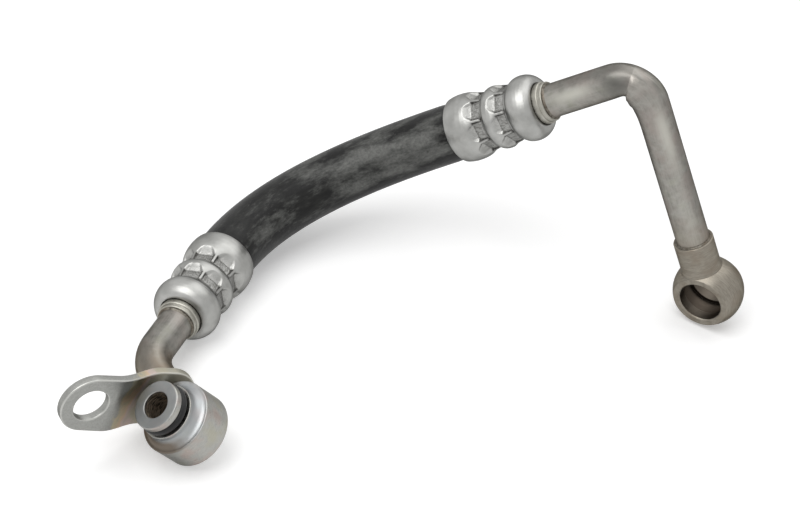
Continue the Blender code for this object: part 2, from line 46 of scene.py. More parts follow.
MM = 0.001
DOUBLED = 0.002 * MM
SHARP_FROM = math.radians(32.0)
LONGEST_CUT = 0.45
SLIVER = 0.02
NOSE_WAY = np.array((-0.539919, -0.390836, 0.745476))
BODY_WAY = np.array((0.586372, -0.810042, 0.0))
PIPE_IN_BODY = np.array((-0.046933, -0.042338, 0.00815))
NOSE_REACH = 11.8
NOSE_BORE = 2.9
NOSE_BORE_DEPTH = 13.5
BODY_RADIUS = 8.1
BODY_DEPTH = 15.0
COVE_START = (6.0, 4.7)
COVE_OUT = 1.8
COVE_BACK = 2.2
FITTING_SIDES = 144
NOSE_FRONT = PIPE_IN_BODY + NOSE_WAY * NOSE_REACH * MM


def eased(corners, cut, steps=5):
    """A profile with its corners eased.

    Each corner becomes a parabola that starts and ends at the cut from it, or at most at the
    longest cut, a share of the shorter side:
    start (1 - t)^2 + corner 2 t (1 - t) + end t^2.  The ends stay.
    """
    corners = np.array(corners, float)
    before, corner, after = corners[:-2, None], corners[1:-1, None], corners[2:, None]
    back, ahead = before - corner, after - corner
    back_long = np.linalg.norm(back, axis=2, keepdims=True)
    ahead_long = np.linalg.norm(ahead, axis=2, keepdims=True)
    cuts = np.broadcast_to(cut, len(corners) - 2)[:, None, None]
    cuts = np.minimum(cuts, LONGEST_CUT * np.minimum(back_long, ahead_long))
    start, end = corner + back / back_long * cuts, corner + ahead / ahead_long * cuts
    t = np.linspace(0.0, 1.0, steps)[None, :, None]
    curve = start * (1 - t) ** 2 + corner * 2 * t * (1 - t) + end * t ** 2
    return np.vstack([corners[:1], curve.reshape(-1, 2), corners[-1:]])


def distance_along(points):
    """Distance of each point from the first, along the straight lines that join them."""
    steps = np.linalg.norm(np.diff(points, axis=0), axis=1)
    return np.concatenate([[0.0], np.cumsum(steps)])


def unit(vectors):
    """Each vector divided by its length."""
    return vectors / np.linalg.norm(vectors, axis=-1, keepdims=True)


def filled(profile, pitch):
    """The same profile with more points: each straight stretch gets one at every pitch.

    A point that comes closer than a sliver of the pitch to the one before it is left out.
    """
    along = distance_along(profile)
    extra = np.arange(0.0, along[-1], pitch)
    places = np.unique(np.concatenate([along, extra]))
    places = places[np.concatenate([[True], np.diff(places) > SLIVER * pitch])]
    return np.stack([np.interp(places, along, profile[:, i]) for i in (0, 1)], axis=1)


def turned(profile, sides):
    """Grid of a turned piece: point = (r cos a, r sin a, h) for each (r, h) and angle a."""
    angle = np.arange(sides) * 2.0 * np.pi / sides
    radius, height = profile[:, :1], profile[:, 1:]
    return np.stack([radius * np.cos(angle), radius * np.sin(angle),
                     height + 0.0 * angle], axis=2)


def seated(local, origin, axis, sideways):
    """Local points moved to their place on the line.

    Point = origin + x (sideways, made square to the axis) + y (axis cross that) + z (axis).
    """
    x = unit(sideways - axis * (sideways @ axis))
    return origin + local @ np.array([x, np.cross(axis, x), axis])


def quads(shape, first, rows_close):
    """Corner numbers of the quads that join each row and column of a grid to the next.

    The last column always joins the first, and the last row may.
    """
    index = first + np.arange(shape[0] * shape[1]).reshape(shape[:2])
    if rows_close:
        index = np.vstack([index, index[:1]])
    index = np.hstack([index, index[:, :1]])
    corners = [index[:-1, :-1], index[1:, :-1], index[1:, 1:], index[:-1, 1:]]
    return np.stack(corners, axis=2).reshape(-1, 4)


def shown(name, data):
    """A new object of the scene that shows the data."""
    made = bpy.data.objects.new(name, data)
    bpy.context.scene.collection.objects.link(made)
    return made


def merged(mesh):
    """Merge a mesh's doubled points, as at poles and seams, and turn its faces outwards."""
    bm = bmesh.new()
    bm.from_mesh(mesh)
    bmesh.ops.remove_doubles(bm, verts=bm.verts, dist=DOUBLED)
    bmesh.ops.recalc_face_normals(bm, faces=bm.faces)
    bm.to_mesh(mesh)
    bm.free()


def skin(name, grids, finish, marks=None, rows_close=True):
    """One closed mesh from grids of points, each given as placed and as laid out.

    The laid-out points are kept as an attribute that patterns follow.  Marks are further
    attributes, one number for each point.
    """
    mesh = bpy.data.meshes.new(name)
    placed = np.vstack([grid[0].reshape(-1, 3) for grid in grids])
    laid_out = np.vstack([grid[1].reshape(-1, 3) for grid in grids])
    faces, first = [], 0
    for grid in grids:
        faces.append(quads(grid[0].shape, first, rows_close))
        first += grid[0].shape[0] * grid[0].shape[1]
    mesh.from_pydata(placed.tolist(), [], np.vstack(faces).tolist())
    layer = mesh.attributes.new("laid_out", "FLOAT_VECTOR", "POINT")
    layer.data.foreach_set("vector", laid_out.astype(np.float32).ravel())
    for label, values in (marks or {}).items():
        layer = mesh.attributes.new(label, "FLOAT", "POINT")
        layer.data.foreach_set("value", np.asarray(values, np.float32).ravel())
    merged(mesh)
    mesh.shade_smooth()
    mesh.set_sharp_from_angle(angle=SHARP_FROM)
    mesh.materials.append(finish)
    piece = shown(name, mesh)
    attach(piece, "root")
    return piece


def shader_of(mat):
    """The material's Principled shader."""
    return mat.node_tree.nodes["Principled BSDF"]


def finish_of(name, colour, roughness, metallic, edge=0.5):
    """A Principled material; its nodes are added afterwards.

    A metal's reflection is tinted darker at glancing angles by the edge value, which paints shade onto its
    flanks.
    """
    mat = bpy.data.materials.new(name)
    mat.use_nodes = True
    shader = shader_of(mat)
    shader.inputs["Base Color"].default_value = (*colour, 1.0)
    shader.inputs["Roughness"].default_value = roughness
    shader.inputs["Metallic"].default_value = metallic
    if metallic > 0.0:
        # Darker glancing reflections stand in for shade on the flanks.
        shader.inputs["Specular Tint"].default_value = (edge, edge, edge, 1.0)
    return mat


def node(mat, kind, feeds, output=0, **settings):
    """Add a shader node to a material or to the world and return its output.

    Its feeds are numbers, colours or the outputs of other nodes.
    """
    made = mat.node_tree.nodes.new("ShaderNode" + kind)
    for key, value in settings.items():
        setattr(made, key, value)
    for socket, feed in feeds.items():
        if isinstance(feed, bpy.types.NodeSocket):
            mat.node_tree.links.new(feed, made.inputs[socket])
        else:
            made.inputs[socket].default_value = feed
    return made.outputs[output]


def laid(mat, stretch=(1.0, 1.0, 1.0)):
    """The laid-out position on the piece, stretched along its own axes."""
    position = node(mat, "Attribute", {}, "Vector", attribute_name="laid_out")
    return node(mat, "Mapping", {"Vector": position, "Scale": stretch})


def mark(mat, name):
    """The value of a mark on the piece."""
    return node(mat, "Attribute", {}, "Fac", attribute_name=name)


def along_axis(mat, axis):
    """One coordinate, "X", "Y" or "Z", of the laid-out position."""
    return node(mat, "SeparateXYZ", {"Vector": laid(mat)}, axis)


def noise(mat, scale, detail=3.0, rough=0.55, stretch=(1.0, 1.0, 1.0)):
    """Cloudy noise from 0 to 1 on the piece, with features about 1 / scale metres apart."""
    return node(mat, "TexNoise", {"Vector": laid(mat, stretch), "Scale": scale, "Detail": detail,
                                  "Roughness": rough})


def ranged(mat, value, low, high, to_low, to_high):
    """A value carried from one range to another and held at its ends."""
    return node(mat, "MapRange", {0: value, 1: low, 2: high, 3: to_low, 4: to_high})


def blended(mat, share, first, second):
    """A colour blended from the first to the second by a share from 0 to 1."""
    first = (*first, 1.0) if isinstance(first, tuple) else first
    second = (*second, 1.0) if isinstance(second, tuple) else second
    return node(mat, "MixRGB", {"Fac": share, "Color1": first, "Color2": second})


def layered(mat, tone, *layers):
    """A colour with others laid over it, each a (value, low, high, most, colour).

    A layer comes in as its value goes from low to high, where it reaches its share, most.
    """
    for value, low, high, most, colour in layers:
        tone = blended(mat, ranged(mat, value, low, high, 0.0, most), tone, colour)
    return tone


def times(mat, first, second):
    """The product of two values."""
    return node(mat, "Math", {0: first, 1: second}, operation="MULTIPLY")


def plus(mat, first, second):
    """The sum of two values."""
    return node(mat, "Math", {0: first, 1: second}, operation="ADD")


def wear_in(mat, colour, roughness, bumps):
    """Feed the shader; each bump is a height from 0 to 1 and the depth that it stands for."""
    links, shader = mat.node_tree.links, shader_of(mat)
    links.new(colour, shader.inputs["Base Color"])
    links.new(roughness, shader.inputs["Roughness"])
    normal = None
    for height, depth in bumps:
        feeds = {"Height": height, "Distance": depth, "Strength": 1.0}
        if normal is not None:
            feeds["Normal"] = normal
        normal = node(mat, "Bump", feeds)
    links.new(normal, shader.inputs["Normal"])
    return mat


def turned_steel():
    """Bright turned steel: rings round the axis, faint rose and straw stains, dull nose face,
    a bluish cove that is darker on the side away from the bracket, and a brown bore."""
    mat = finish_of("turned_steel", (0.45, 0.455, 0.46), 0.30, 1.0, 0.4)
    rings = noise(mat, 5200.0, 4.0, 0.65, (0.15, 0.15, 1.0))
    broad = noise(mat, 900.0, 2.0, stretch=(0.25, 0.25, 1.0))
    cloud = noise(mat, 190.0)
    tone = layered(mat, (0.29, 0.29, 0.275),
                   (rings, 0.3, 0.7, 1.0, (0.40, 0.395, 0.37)),
                   (cloud, 0.50, 0.66, 0.6, (0.38, 0.31, 0.28)),
                   (cloud, 0.46, 0.30, 0.5, (0.36, 0.345, 0.26)))
    depth = along_axis(mat, "Z")
    side = plus(mat, along_axis(mat, "Y"), ranged(mat, cloud, 0.3, 0.7, -1.5 * MM, 1.5 * MM))
    flare = times(mat, ranged(mat, depth, -4.0 * MM, -4.4 * MM, 0.0, 1.0),
                  ranged(mat, depth, -7.1 * MM, -6.8 * MM, 0.0, 1.0))
    tone = blended(mat, times(mat, flare, 0.5), tone, (0.36, 0.39, 0.42))
    # The cove is darker on the side away from the bracket.
    darker_side = times(mat, ranged(mat, side, -1.0 * MM, 3.5 * MM, 0.0, 0.95),
                 ranged(mat, depth, -5.2 * MM, -6.2 * MM, 0.0, 1.0))
    darker_side = times(mat, darker_side, ranged(mat, depth, -7.5 * MM, -7.0 * MM, 0.0, 1.0))
    tone = blended(mat, darker_side, tone, (0.15, 0.125, 0.10))
    front = ranged(mat, depth, -0.1 * MM, -0.02 * MM, 0.0, 1.0)
    dull = ranged(mat, broad, 0.35, 0.65, 0.62, 0.82)
    tone = blended(mat, times(mat, front, dull), tone, (0.19, 0.20, 0.205))
    # The bore is dark brown with lighter rings.
    bore_tone = layered(mat, (0.05, 0.042, 0.033), (rings, 0.4, 0.6, 1.0, (0.48, 0.40, 0.31)))
    tone = blended(mat, mark(mat, "inside"), tone, bore_tone)
    rough = ranged(mat, rings, 0.3, 0.7, 0.24, 0.36)
    rough = plus(mat, rough, times(mat, front, 0.2))
    rough = plus(mat, rough, times(mat, mark(mat, "inside"), 0.3))
    rough = plus(mat, rough, times(mat, flare, 0.12))
    fine = noise(mat, 9000.0, 2.0)
    return wear_in(mat, tone, rough, [(rings, 0.014 * MM), (broad, 0.035 * MM), (fine, 0.004 * MM)])


# Profiles are corners in mm: distance from the axis, and depth behind the nose's face.
nose_corners = [(0.0, NOSE_BORE_DEPTH), (NOSE_BORE, NOSE_BORE_DEPTH), (NOSE_BORE, 0.14),
                (NOSE_BORE + 0.14, 0.0), (5.2, 0.0), (5.45, 0.25), (5.45, 1.6), (3.6, 1.6),
                (3.6, 3.9), (6.0, 3.9), COVE_START]
cove = np.linspace(0.0, np.pi / 2.0, 13)[1:-1]
cove_corners = COVE_START + np.stack([COVE_OUT * (1.0 - np.cos(cove)), COVE_BACK * np.sin(cove)], axis=1)
body_corners = [(7.8, 6.9), (BODY_RADIUS - 0.14, 6.9), (BODY_RADIUS, 7.04),
                (BODY_RADIUS, BODY_DEPTH - 0.3), (BODY_RADIUS - 0.3, BODY_DEPTH), (0.0, BODY_DEPTH)]
fitting_profile = np.vstack([eased(nose_corners, 0.14), cove_corners, eased(body_corners, 0.12)])
fitting_grid = turned(filled(fitting_profile, 0.6) * (MM, -MM), FITTING_SIDES)
fitting_depth = -fitting_grid[..., 2] / MM
in_the_bore = (fitting_depth > 0.5) & (fitting_depth < NOSE_BORE_DEPTH + 0.1)
in_the_bore &= np.hypot(fitting_grid[..., 0], fitting_grid[..., 1]) < (NOSE_BORE + 0.3) * MM
fitting = skin("turned_end_fitting",
               [(seated(fitting_grid, NOSE_FRONT, NOSE_WAY, -BODY_WAY), fitting_grid)],
               turned_steel(), {"inside": in_the_bore}, rows_close=False)
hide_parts("end_fitting")


# O-ring
# The moulded nitrile ring that seals the nose in its port. It is stretched over the nose's front
# land into the groove behind it.

SEAL_MIDDLE = 4.68 * MM
SEAL_SECTION = 1.04 * MM
SEAL_DEPTH = 2.75 * MM


def ring_grid(middle, section, height, around=160, across=40):
    """Grid of a torus: a circle of the section's radius carried round at the middle radius."""
    turn = np.arange(across) * 2.0 * np.pi / across
    profile = np.stack([middle + section * np.cos(turn), height + section * np.sin(turn)], axis=1)
    return turned(profile, around)


def seal_rubber():
    """Smooth black rubber with a faint oily bloom."""
    mat = finish_of("seal_rubber", (0.014, 0.014, 0.015), 0.42, 0.0)
    shader_of(mat).inputs["Specular IOR Level"].default_value = 0.3
    bloom = noise(mat, 700.0)
    tone = layered(mat, (0.006, 0.006, 0.0065), (bloom, 0.35, 0.7, 1.0, (0.022, 0.022, 0.022)))
    rough = ranged(mat, bloom, 0.35, 0.7, 0.34, 0.55)
    return wear_in(mat, tone, rough, [(noise(mat, 6000.0, 2.0), 0.006 * MM)])


seal_grid = ring_grid(SEAL_MIDDLE, SEAL_SECTION, -SEAL_DEPTH)
seal = skin("nose_o_ring", [(seated(seal_grid, NOSE_FRONT, NOSE_WAY, -BODY_WAY), seal_grid)],
            seal_rubber())
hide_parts("o_ring")


# Fixing bracket
# A punched and zinc-plated steel plate with a shallow joggle. The pipe passes through its wide
# end, where brazing has tinted the plating, and a bolt holds its lug to the engine.

LUG_WAY = np.array((-0.749994, -0.542905, 0.377841))
PLATE_PLACE = 8.4
PLATE_FACE = PIPE_IN_BODY - BODY_WAY * PLATE_PLACE * MM
PLATE = {"thick": 2.0, "edge": 0.32, "pipe_end": 7.1, "pipe_end_centre": 1.8, "lug_end": 6.75,
         "spacing": 21.5, "pipe_hole": 4.3, "bolt_hole": 3.85}
PLATE_MIDDLE = 10.5
JOGGLE_START = 4.8
JOGGLE_LONG = 12.0
JOGGLE_HIGH = 3.3
LUG_ARC = 49
PIPE_ARC = 57
EDGE_STEPS = 7


def plate_lift(along):
    """Height of the joggle: a smooth step, high (3 s^2 - 2 s^3) for a share s of its length."""
    share = np.clip((along - JOGGLE_START) / JOGGLE_LONG, 0.0, 1.0)
    return JOGGLE_HIGH * (3.0 * share ** 2 - 2.0 * share ** 3)


def plate_edge():
    """Points and outward directions of the plate's outline, from the middle of one long side
    round the lug end, back along the other side and round the pipe end.

    Two arcs joined by the straight lines that touch both.
    """
    big, small = PLATE["pipe_end"], PLATE["lug_end"]
    lean = math.acos((big - small) / (PLATE["spacing"] - PLATE["pipe_end_centre"]))
    lug = np.linspace(-lean, lean, LUG_ARC)
    pipe = np.linspace(lean, 2.0 * np.pi - lean, PIPE_ARC)
    centres = np.repeat([PLATE["spacing"], PLATE["pipe_end_centre"]], [LUG_ARC, PIPE_ARC])
    turn = np.concatenate([lug, pipe])
    size = np.repeat([small, big], [LUG_ARC, PIPE_ARC])
    outward = np.stack([np.cos(turn), np.sin(turn)], axis=1)
    return np.stack([centres, 0.0 * turn], axis=1) + outward * size[:, None], outward


def side_run(start, end, count):
    """Evenly spaced points strictly between two points of the outline."""
    share = np.linspace(0.0, 1.0, count + 2)[1:-1, None]
    return start + (end - start) * share


def plate_outline(cross_steps=24, side_steps=12):
    """The outline as two loops of points, one round each hole, that share the middle line.

    With each loop go the outward directions of the points that lie on the outline.
    """
    points, outward = plate_edge()
    lug_points, pipe_points = points[:LUG_ARC], points[LUG_ARC:]
    share = (PLATE_MIDDLE - lug_points[0, 0]) / (pipe_points[-1, 0] - lug_points[0, 0])
    low = lug_points[0] + (pipe_points[-1] - lug_points[0]) * share
    high = low * (1.0, -1.0)
    middle = side_run(low, high, cross_steps)
    flank = side_run(low, lug_points[0], side_steps)
    lug_loop = np.vstack([low, flank, lug_points, flank[::-1] * (1.0, -1.0), high, middle[::-1]])
    flank = side_run(high, pipe_points[0], side_steps)
    pipe_loop = np.vstack([high, flank, pipe_points, flank[::-1] * (1.0, -1.0), low, middle])
    more = ((side_steps + 1, side_steps + 1), (0, 0))
    return (lug_loop, np.pad(outward[:LUG_ARC], more, mode="edge"),
            pipe_loop, np.pad(outward[LUG_ARC:], more, mode="edge"))


def spokes(loop, outward, centre):
    """The loop drawn in by the eased edge, and the directions to it from a hole's centre."""
    outer = loop.copy()
    outer[:len(outward)] -= outward * PLATE["edge"]
    return outer, unit(outer - (centre, 0.0))


def holed_face(loop, outward, centre, hole, level):
    """Grid of one face of the plate round a hole.

    Row by row it goes straight from the hole's eased edge to the outline's: point =
    hole point + share (outline point - hole point), lifted by the joggle.
    """
    outer, spoke = spokes(loop, outward, centre)
    inner = spoke * (hole + PLATE["edge"]) + (centre, 0.0)
    share = np.linspace(0.0, 1.0, 20)[:, None, None]
    flat = inner + (outer - inner) * share
    return np.concatenate([flat, plate_lift(flat[..., :1]) - level], axis=2)


def wall(points, outward):
    """Grid of the plate's side or a hole's wall: a quarter round, the wall, a quarter round.

    In by edge (1 - sin a) and down by edge (1 - cos a), and the same from the other face.
    """
    edge, thick = PLATE["edge"], PLATE["thick"]
    turn = np.linspace(0.0, np.pi / 2.0, EDGE_STEPS)
    inset, sunk = edge * (1.0 - np.sin(turn)), edge * (1.0 - np.cos(turn))
    inset = np.concatenate([inset, inset[::-1]])
    depth = np.concatenate([sunk, thick - sunk[::-1]])
    flat = points - outward * inset[:, None, None]
    height = plate_lift(flat[..., :1]) - depth[:, None, None]
    return np.concatenate([flat, height], axis=2)


# Heat tints from the outermost band inwards: where each starts and is full, in mm from the
# pipe, its share there and its colour.
HEAT_BANDS = ((15.0, 14.0, 0.85, (0.47, 0.42, 0.295)), (14.0, 12.6, 0.9, (0.57, 0.44, 0.325)),
              (12.4, 11.2, 0.85, (0.54, 0.455, 0.44)), (11.0, 9.4, 0.85, (0.40, 0.385, 0.30)),
              (8.6, 7.0, 0.7, (0.38, 0.372, 0.325)))


def zinc_plate():
    """Zinc-plated steel, heat-tinted in bands round the pipe hole, with a painted highlight along its
    eased edges.
    """
    mat = finish_of("zinc_plate", (0.55, 0.55, 0.54), 0.36, 1.0, 0.35)
    cloud = noise(mat, 260.0, 4.0)
    grain = noise(mat, 2600.0, 4.0, 0.7)
    away = node(mat, "VectorMath", {0: laid(mat, (1.0, 1.0, 0.0))}, "Value", operation="LENGTH")
    away = plus(mat, away, ranged(mat, cloud, 0.3, 0.7, -1.4 * MM, 1.4 * MM))
    streak = noise(mat, 900.0, 3.0, 0.6, (1.0, 0.25, 1.0))
    away = plus(mat, away, ranged(mat, streak, 0.3, 0.7, -0.8 * MM, 0.8 * MM))
    tone = layered(mat, (0.275, 0.277, 0.262), (grain, 0.35, 0.65, 1.0, (0.345, 0.347, 0.332)))
    for start, end, most, colour in HEAT_BANDS:
        tone = layered(mat, tone, (away, start * MM, end * MM, most, colour))
    # Painted highlight along the eased edges.
    tone = blended(mat, times(mat, mark(mat, "lit_edge"), 0.5), tone, (0.58, 0.58, 0.55))
    rough = plus(mat, ranged(mat, cloud, 0.3, 0.7, 0.30, 0.42),
                 ranged(mat, away, 14.0 * MM, 11.0 * MM, 0.0, 0.16))
    return wear_in(mat, tone, rough, [(grain, 0.010 * MM), (cloud, 0.05 * MM)])


lug_loop, lug_out, pipe_loop, pipe_out = plate_outline()
plate_ends = ((lug_loop, lug_out, PLATE["spacing"], PLATE["bolt_hole"]),
              (pipe_loop, pipe_out, 0.0, PLATE["pipe_hole"]))
plate_grids = [holed_face(*end, level) for level in (0.0, PLATE["thick"]) for end in plate_ends]
rim_points = np.vstack([lug_loop[:len(lug_out)], pipe_loop[1:len(pipe_out) - 1]])
plate_grids.append(wall(rim_points, np.vstack([lug_out, pipe_out[1:-1]])))
for loop, outward, centre, hole in plate_ends:
    spoke = spokes(loop, outward, centre)[1]
    plate_grids.append(wall(spoke * hole + (centre, 0.0), -spoke))
# The rows of the eased edges get the painted highlight.
plate_lit_edges = [np.zeros(grid.shape[:2]) for grid in plate_grids]
for lit_edge in plate_lit_edges[2 * len(plate_ends):]:
    lit_edge[1:EDGE_STEPS - 1] = 1.0
    lit_edge[1 - EDGE_STEPS:-1] = 1.0
plate = skin("joggled_bracket",
             [(seated(grid * MM, PLATE_FACE, BODY_WAY, LUG_WAY), grid * MM) for grid in plate_grids],
             zinc_plate(), {"lit_edge": np.concatenate([lit_edge.ravel() for lit_edge in plate_lit_edges])},
             rows_close=False)
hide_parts("fixing_bracket")


# Inlet pipe
# A short length of steel pipe with one bend, brazed into the body through the bracket and into
# the hose's nipple at its other end.

INLET_MOUTH = np.array((-0.05566, -0.00894, 0.00815))
INLET_WAY = np.array((-0.231748, -0.972776, 0.0))
INLET_LEG = 10.9 * MM
INLET_BEND = 12.0 * MM
INLET_LAST = 7.5 * MM
PIPE_RADIUS = 4.0 * MM
PIPE_BORE = 3.0 * MM
PIPE_SIDES = 96
PIPE_SEAT = 0.1 * MM
NIPPLE_END = 2.4


def bent_route(start, way_in, leg, radius, way_out, last, pitch=0.5 * MM):
    """Points and directions of a straight leg, an arc and a second straight leg.

    On the arc: point = its start + radius (sin a along the way in + (1 - cos a) inwards).
    """
    angle = math.acos(way_in @ way_out)
    inward = unit(way_out - way_in * (way_in @ way_out))
    first = np.linspace(0.0, leg, max(3, int(leg / pitch)))[:-1, None]
    turn = np.linspace(0.0, angle, 89)[:, None]
    third = np.linspace(0.0, last, max(3, int(last / pitch)))[1:, None]
    arc = start + way_in * leg + radius * (np.sin(turn) * way_in + (1.0 - np.cos(turn)) * inward)
    points = np.vstack([start + first * way_in, arc, arc[-1] + third * way_out])
    ways = np.vstack([way_in + 0.0 * first, np.cos(turn) * way_in + np.sin(turn) * inward,
                      way_out + 0.0 * third])
    return points, ways


def tube(points, ways, level, radius, bore, sides):
    """Grids of a hollow tube along a route, placed and laid out straight.

    Point = route point + r (cos a inwards + sin a level), where inwards is level cross the
    route's direction; the radius may differ from place to place and round the tube.
    """
    angle = np.arange(sides) * 2.0 * np.pi / sides
    inward = unit(np.cross(level, ways))
    other = np.cross(ways, inward)
    spoke = inward[:, None] * np.cos(angle)[:, None] + other[:, None] * np.sin(angle)[:, None]
    along = distance_along(points)
    radius = np.broadcast_to(radius, (len(points), sides))
    size = np.concatenate([radius, np.full((len(points), sides), bore)[::-1]])
    both = np.concatenate([np.arange(len(points)), np.arange(len(points))[::-1]])
    placed = points[both][:, None] + spoke[both] * size[:, :, None]
    flat = np.stack([size * np.cos(angle), size * np.sin(angle),
                     along[both][:, None] + 0.0 * size], axis=2)
    return placed, flat


def smudges(flat, *patches):
    """Soft patches on a tube, added up; each is (strength, place, turn, length, spread).

    A patch is strength exp(-(d / length)^2 - (a / spread)^2), in mm and degrees, for the
    distance d along the tube from its place and the angle a round it from its turn.
    """
    total = 0.0
    for strong, along, turn, length, spread in patches:
        off = np.degrees(np.arctan2(flat[..., 1], flat[..., 0])) - turn
        off = (off + 180.0) % 360.0 - 180.0
        total = total + strong * np.exp(-((flat[..., 2] / MM - along) / length) ** 2 - (off / spread) ** 2)
    return total


def pipe_steel(name, warm_from, warm_to):
    """Drawn steel pipe: soft grey mottling, fine scratches along it, and a warm heat tint.

    The tint grows between two distances along the pipe. A mark paints darker patches on it, and where it
    is negative it paints highlights.
    """
    mat = finish_of(name, (0.33, 0.32, 0.30), 0.36, 1.0, 0.22)
    cloud = noise(mat, 150.0, 4.0, 0.6)
    mottle = noise(mat, 620.0, 4.0, 0.6)
    drawn = noise(mat, 2600.0, 4.0, 0.65, (1.0, 1.0, 0.06))
    grain = noise(mat, 4200.0, 3.0, 0.6)
    tone = layered(mat, (0.20, 0.193, 0.175),
                   (mottle, 0.35, 0.65, 1.0, (0.305, 0.297, 0.272)),
                   (drawn, 0.35, 0.7, 0.5, (0.35, 0.34, 0.315)),
                   (cloud, 0.45, 0.68, 0.55, (0.27, 0.225, 0.205)),
                   (cloud, 0.44, 0.28, 0.45, (0.26, 0.265, 0.205)))
    along = along_axis(mat, "Z")
    warm = times(mat, ranged(mat, along, warm_from, warm_to, 0.0, 0.75),
                 ranged(mat, cloud, 0.25, 0.6, 0.5, 1.0))
    tone = blended(mat, warm, tone, (0.25, 0.205, 0.155))
    # Positive marks darken: painted shade before the outlet's bend and other darker patches. Negative
    # marks are painted highlights.
    tone = layered(mat, tone,
                   (mark(mat, "patches_and_painted_light"), 0.0, 1.0, 1.0, (0.10, 0.098, 0.09)),
                   (mark(mat, "patches_and_painted_light"), 0.0, -1.0, 1.0, (0.52, 0.51, 0.46)))
    rough = ranged(mat, mottle, 0.3, 0.7, 0.31, 0.44)
    return wear_in(mat, tone, rough, [(drawn, 0.010 * MM), (grain, 0.008 * MM), (mottle, 0.03 * MM)])


pipe_start = INLET_MOUTH + INLET_WAY * PIPE_SEAT
inlet_points, inlet_ways = bent_route(pipe_start, INLET_WAY, INLET_LEG, INLET_BEND,
                                      BODY_WAY, INLET_LAST)
inlet_level = unit(np.cross(INLET_WAY, BODY_WAY))
inlet_placed, inlet_flat = tube(inlet_points, inlet_ways, inlet_level, PIPE_RADIUS, PIPE_BORE,
                                PIPE_SIDES)
# Darker patches, and with a minus a painted highlight.
inlet_patches_and_light = smudges(inlet_flat, (0.45, 12.0, 60.0, 6.0, 50.0), (0.5, 20.0, 130.0, 7.0, 30.0),
                      (-0.35, 17.0, 85.0, 5.0, 14.0))
inlet_pipe = skin("inlet_bent_pipe", [(inlet_placed, inlet_flat)],
                  pipe_steel("inlet_pipe_steel", 12.0 * MM, 20.0 * MM), {"patches_and_painted_light": inlet_patches_and_light})
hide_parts("inlet_pipe")


BRAZE_INSIDE = 3.97
BRAZE_PLUG = 4.28
BRAZE_PLUG_DEPTH = 0.7
BRAZE_UP_PIPE = 0.55


def braze_ring(name, foot, origin, axis, finish, spread):
    """A small fillet of braze round the pipe, at a height along the axis of the part it joins.

    Its profile is a hollow curve, height (1 - s)^2.2 for a share s of the way out over the
    face, and a plug that closes the joint below.
    """
    share = np.linspace(0.0, 1.0, 9)
    out = BRAZE_INSIDE + (spread + 0.33) * share
    up = BRAZE_UP_PIPE * (1.0 - share) ** 2.2 + 0.02
    curve = np.stack([out, foot + up], axis=1)
    below = [(out[-1], foot - 0.04), (BRAZE_PLUG, foot - 0.06),
             (BRAZE_PLUG, foot - BRAZE_PLUG_DEPTH), (BRAZE_INSIDE, foot - BRAZE_PLUG_DEPTH)]
    grid = turned(filled(np.vstack([curve, below]), 0.2) * MM, 112)
    ring = skin(name, [(seated(grid, origin, axis, np.array((0.3, 0.2, 1.0))), grid)], finish)


def braze_bronze():
    """Braze metal gone brown-grey with heat, lumpy and a little sooty."""
    mat = finish_of("braze_bronze", (0.24, 0.21, 0.17), 0.42, 1.0)
    lumps = noise(mat, 1500.0, 4.0, 0.65)
    cloud = noise(mat, 350.0)
    tone = layered(mat, (0.07, 0.062, 0.052),
                   (lumps, 0.35, 0.65, 1.0, (0.22, 0.205, 0.175)),
                   (cloud, 0.45, 0.7, 0.6, (0.12, 0.095, 0.07)))
    return wear_in(mat, tone, ranged(mat, lumps, 0.3, 0.7, 0.34, 0.56), [(lumps, 0.09 * MM)])


braze = braze_bronze()
braze_ring("bracket_back_braze", PLATE["thick"], PLATE_FACE, -BODY_WAY, braze, 0.9)
braze_ring("inlet_nipple_braze", NIPPLE_END, INLET_MOUTH, INLET_WAY, braze, 0.12)


# Inlet nipple
# The turned steel insert of the hose end. Its collar and step show between pipe and ferrule,
# and its barbed stem holds the hose from inside.

UP = np.array((0.0, 0.0, 1.0))
BARBS = 4
BARBS_FROM = -1.1
BARB_LONG = 4.25
BARB_LAND = 2.83
BARB_CREST = 3.7
BARB_ROOT = 3.2


def nipple_steel():
    """Zinc-plated steel with a warm passivated cast, darker where it enters the ferrule."""
    mat = finish_of("nipple_steel", (0.50, 0.48, 0.43), 0.34, 1.0)
    rings = noise(mat, 4200.0, 3.0, 0.6, (0.2, 0.2, 1.0))
    cloud = noise(mat, 500.0, 4.0)
    tone = layered(mat, (0.29, 0.28, 0.245), (cloud, 0.35, 0.65, 1.0, (0.40, 0.39, 0.35)))
    depth = along_axis(mat, "Z")
    # Darker in a narrow band where it enters the ferrule.
    darker_by_ferrule = times(mat, ranged(mat, depth, 0.35 * MM, 0.05 * MM, 0.0, 0.9),
                  ranged(mat, noise(mat, 1800.0), 0.38, 0.55, 0.35, 1.0))
    tone = blended(mat, darker_by_ferrule, tone, (0.05, 0.045, 0.04))
    rough = ranged(mat, cloud, 0.3, 0.7, 0.28, 0.42)
    return wear_in(mat, tone, rough, [(rings, 0.012 * MM), (noise(mat, 3000.0), 0.008 * MM)])


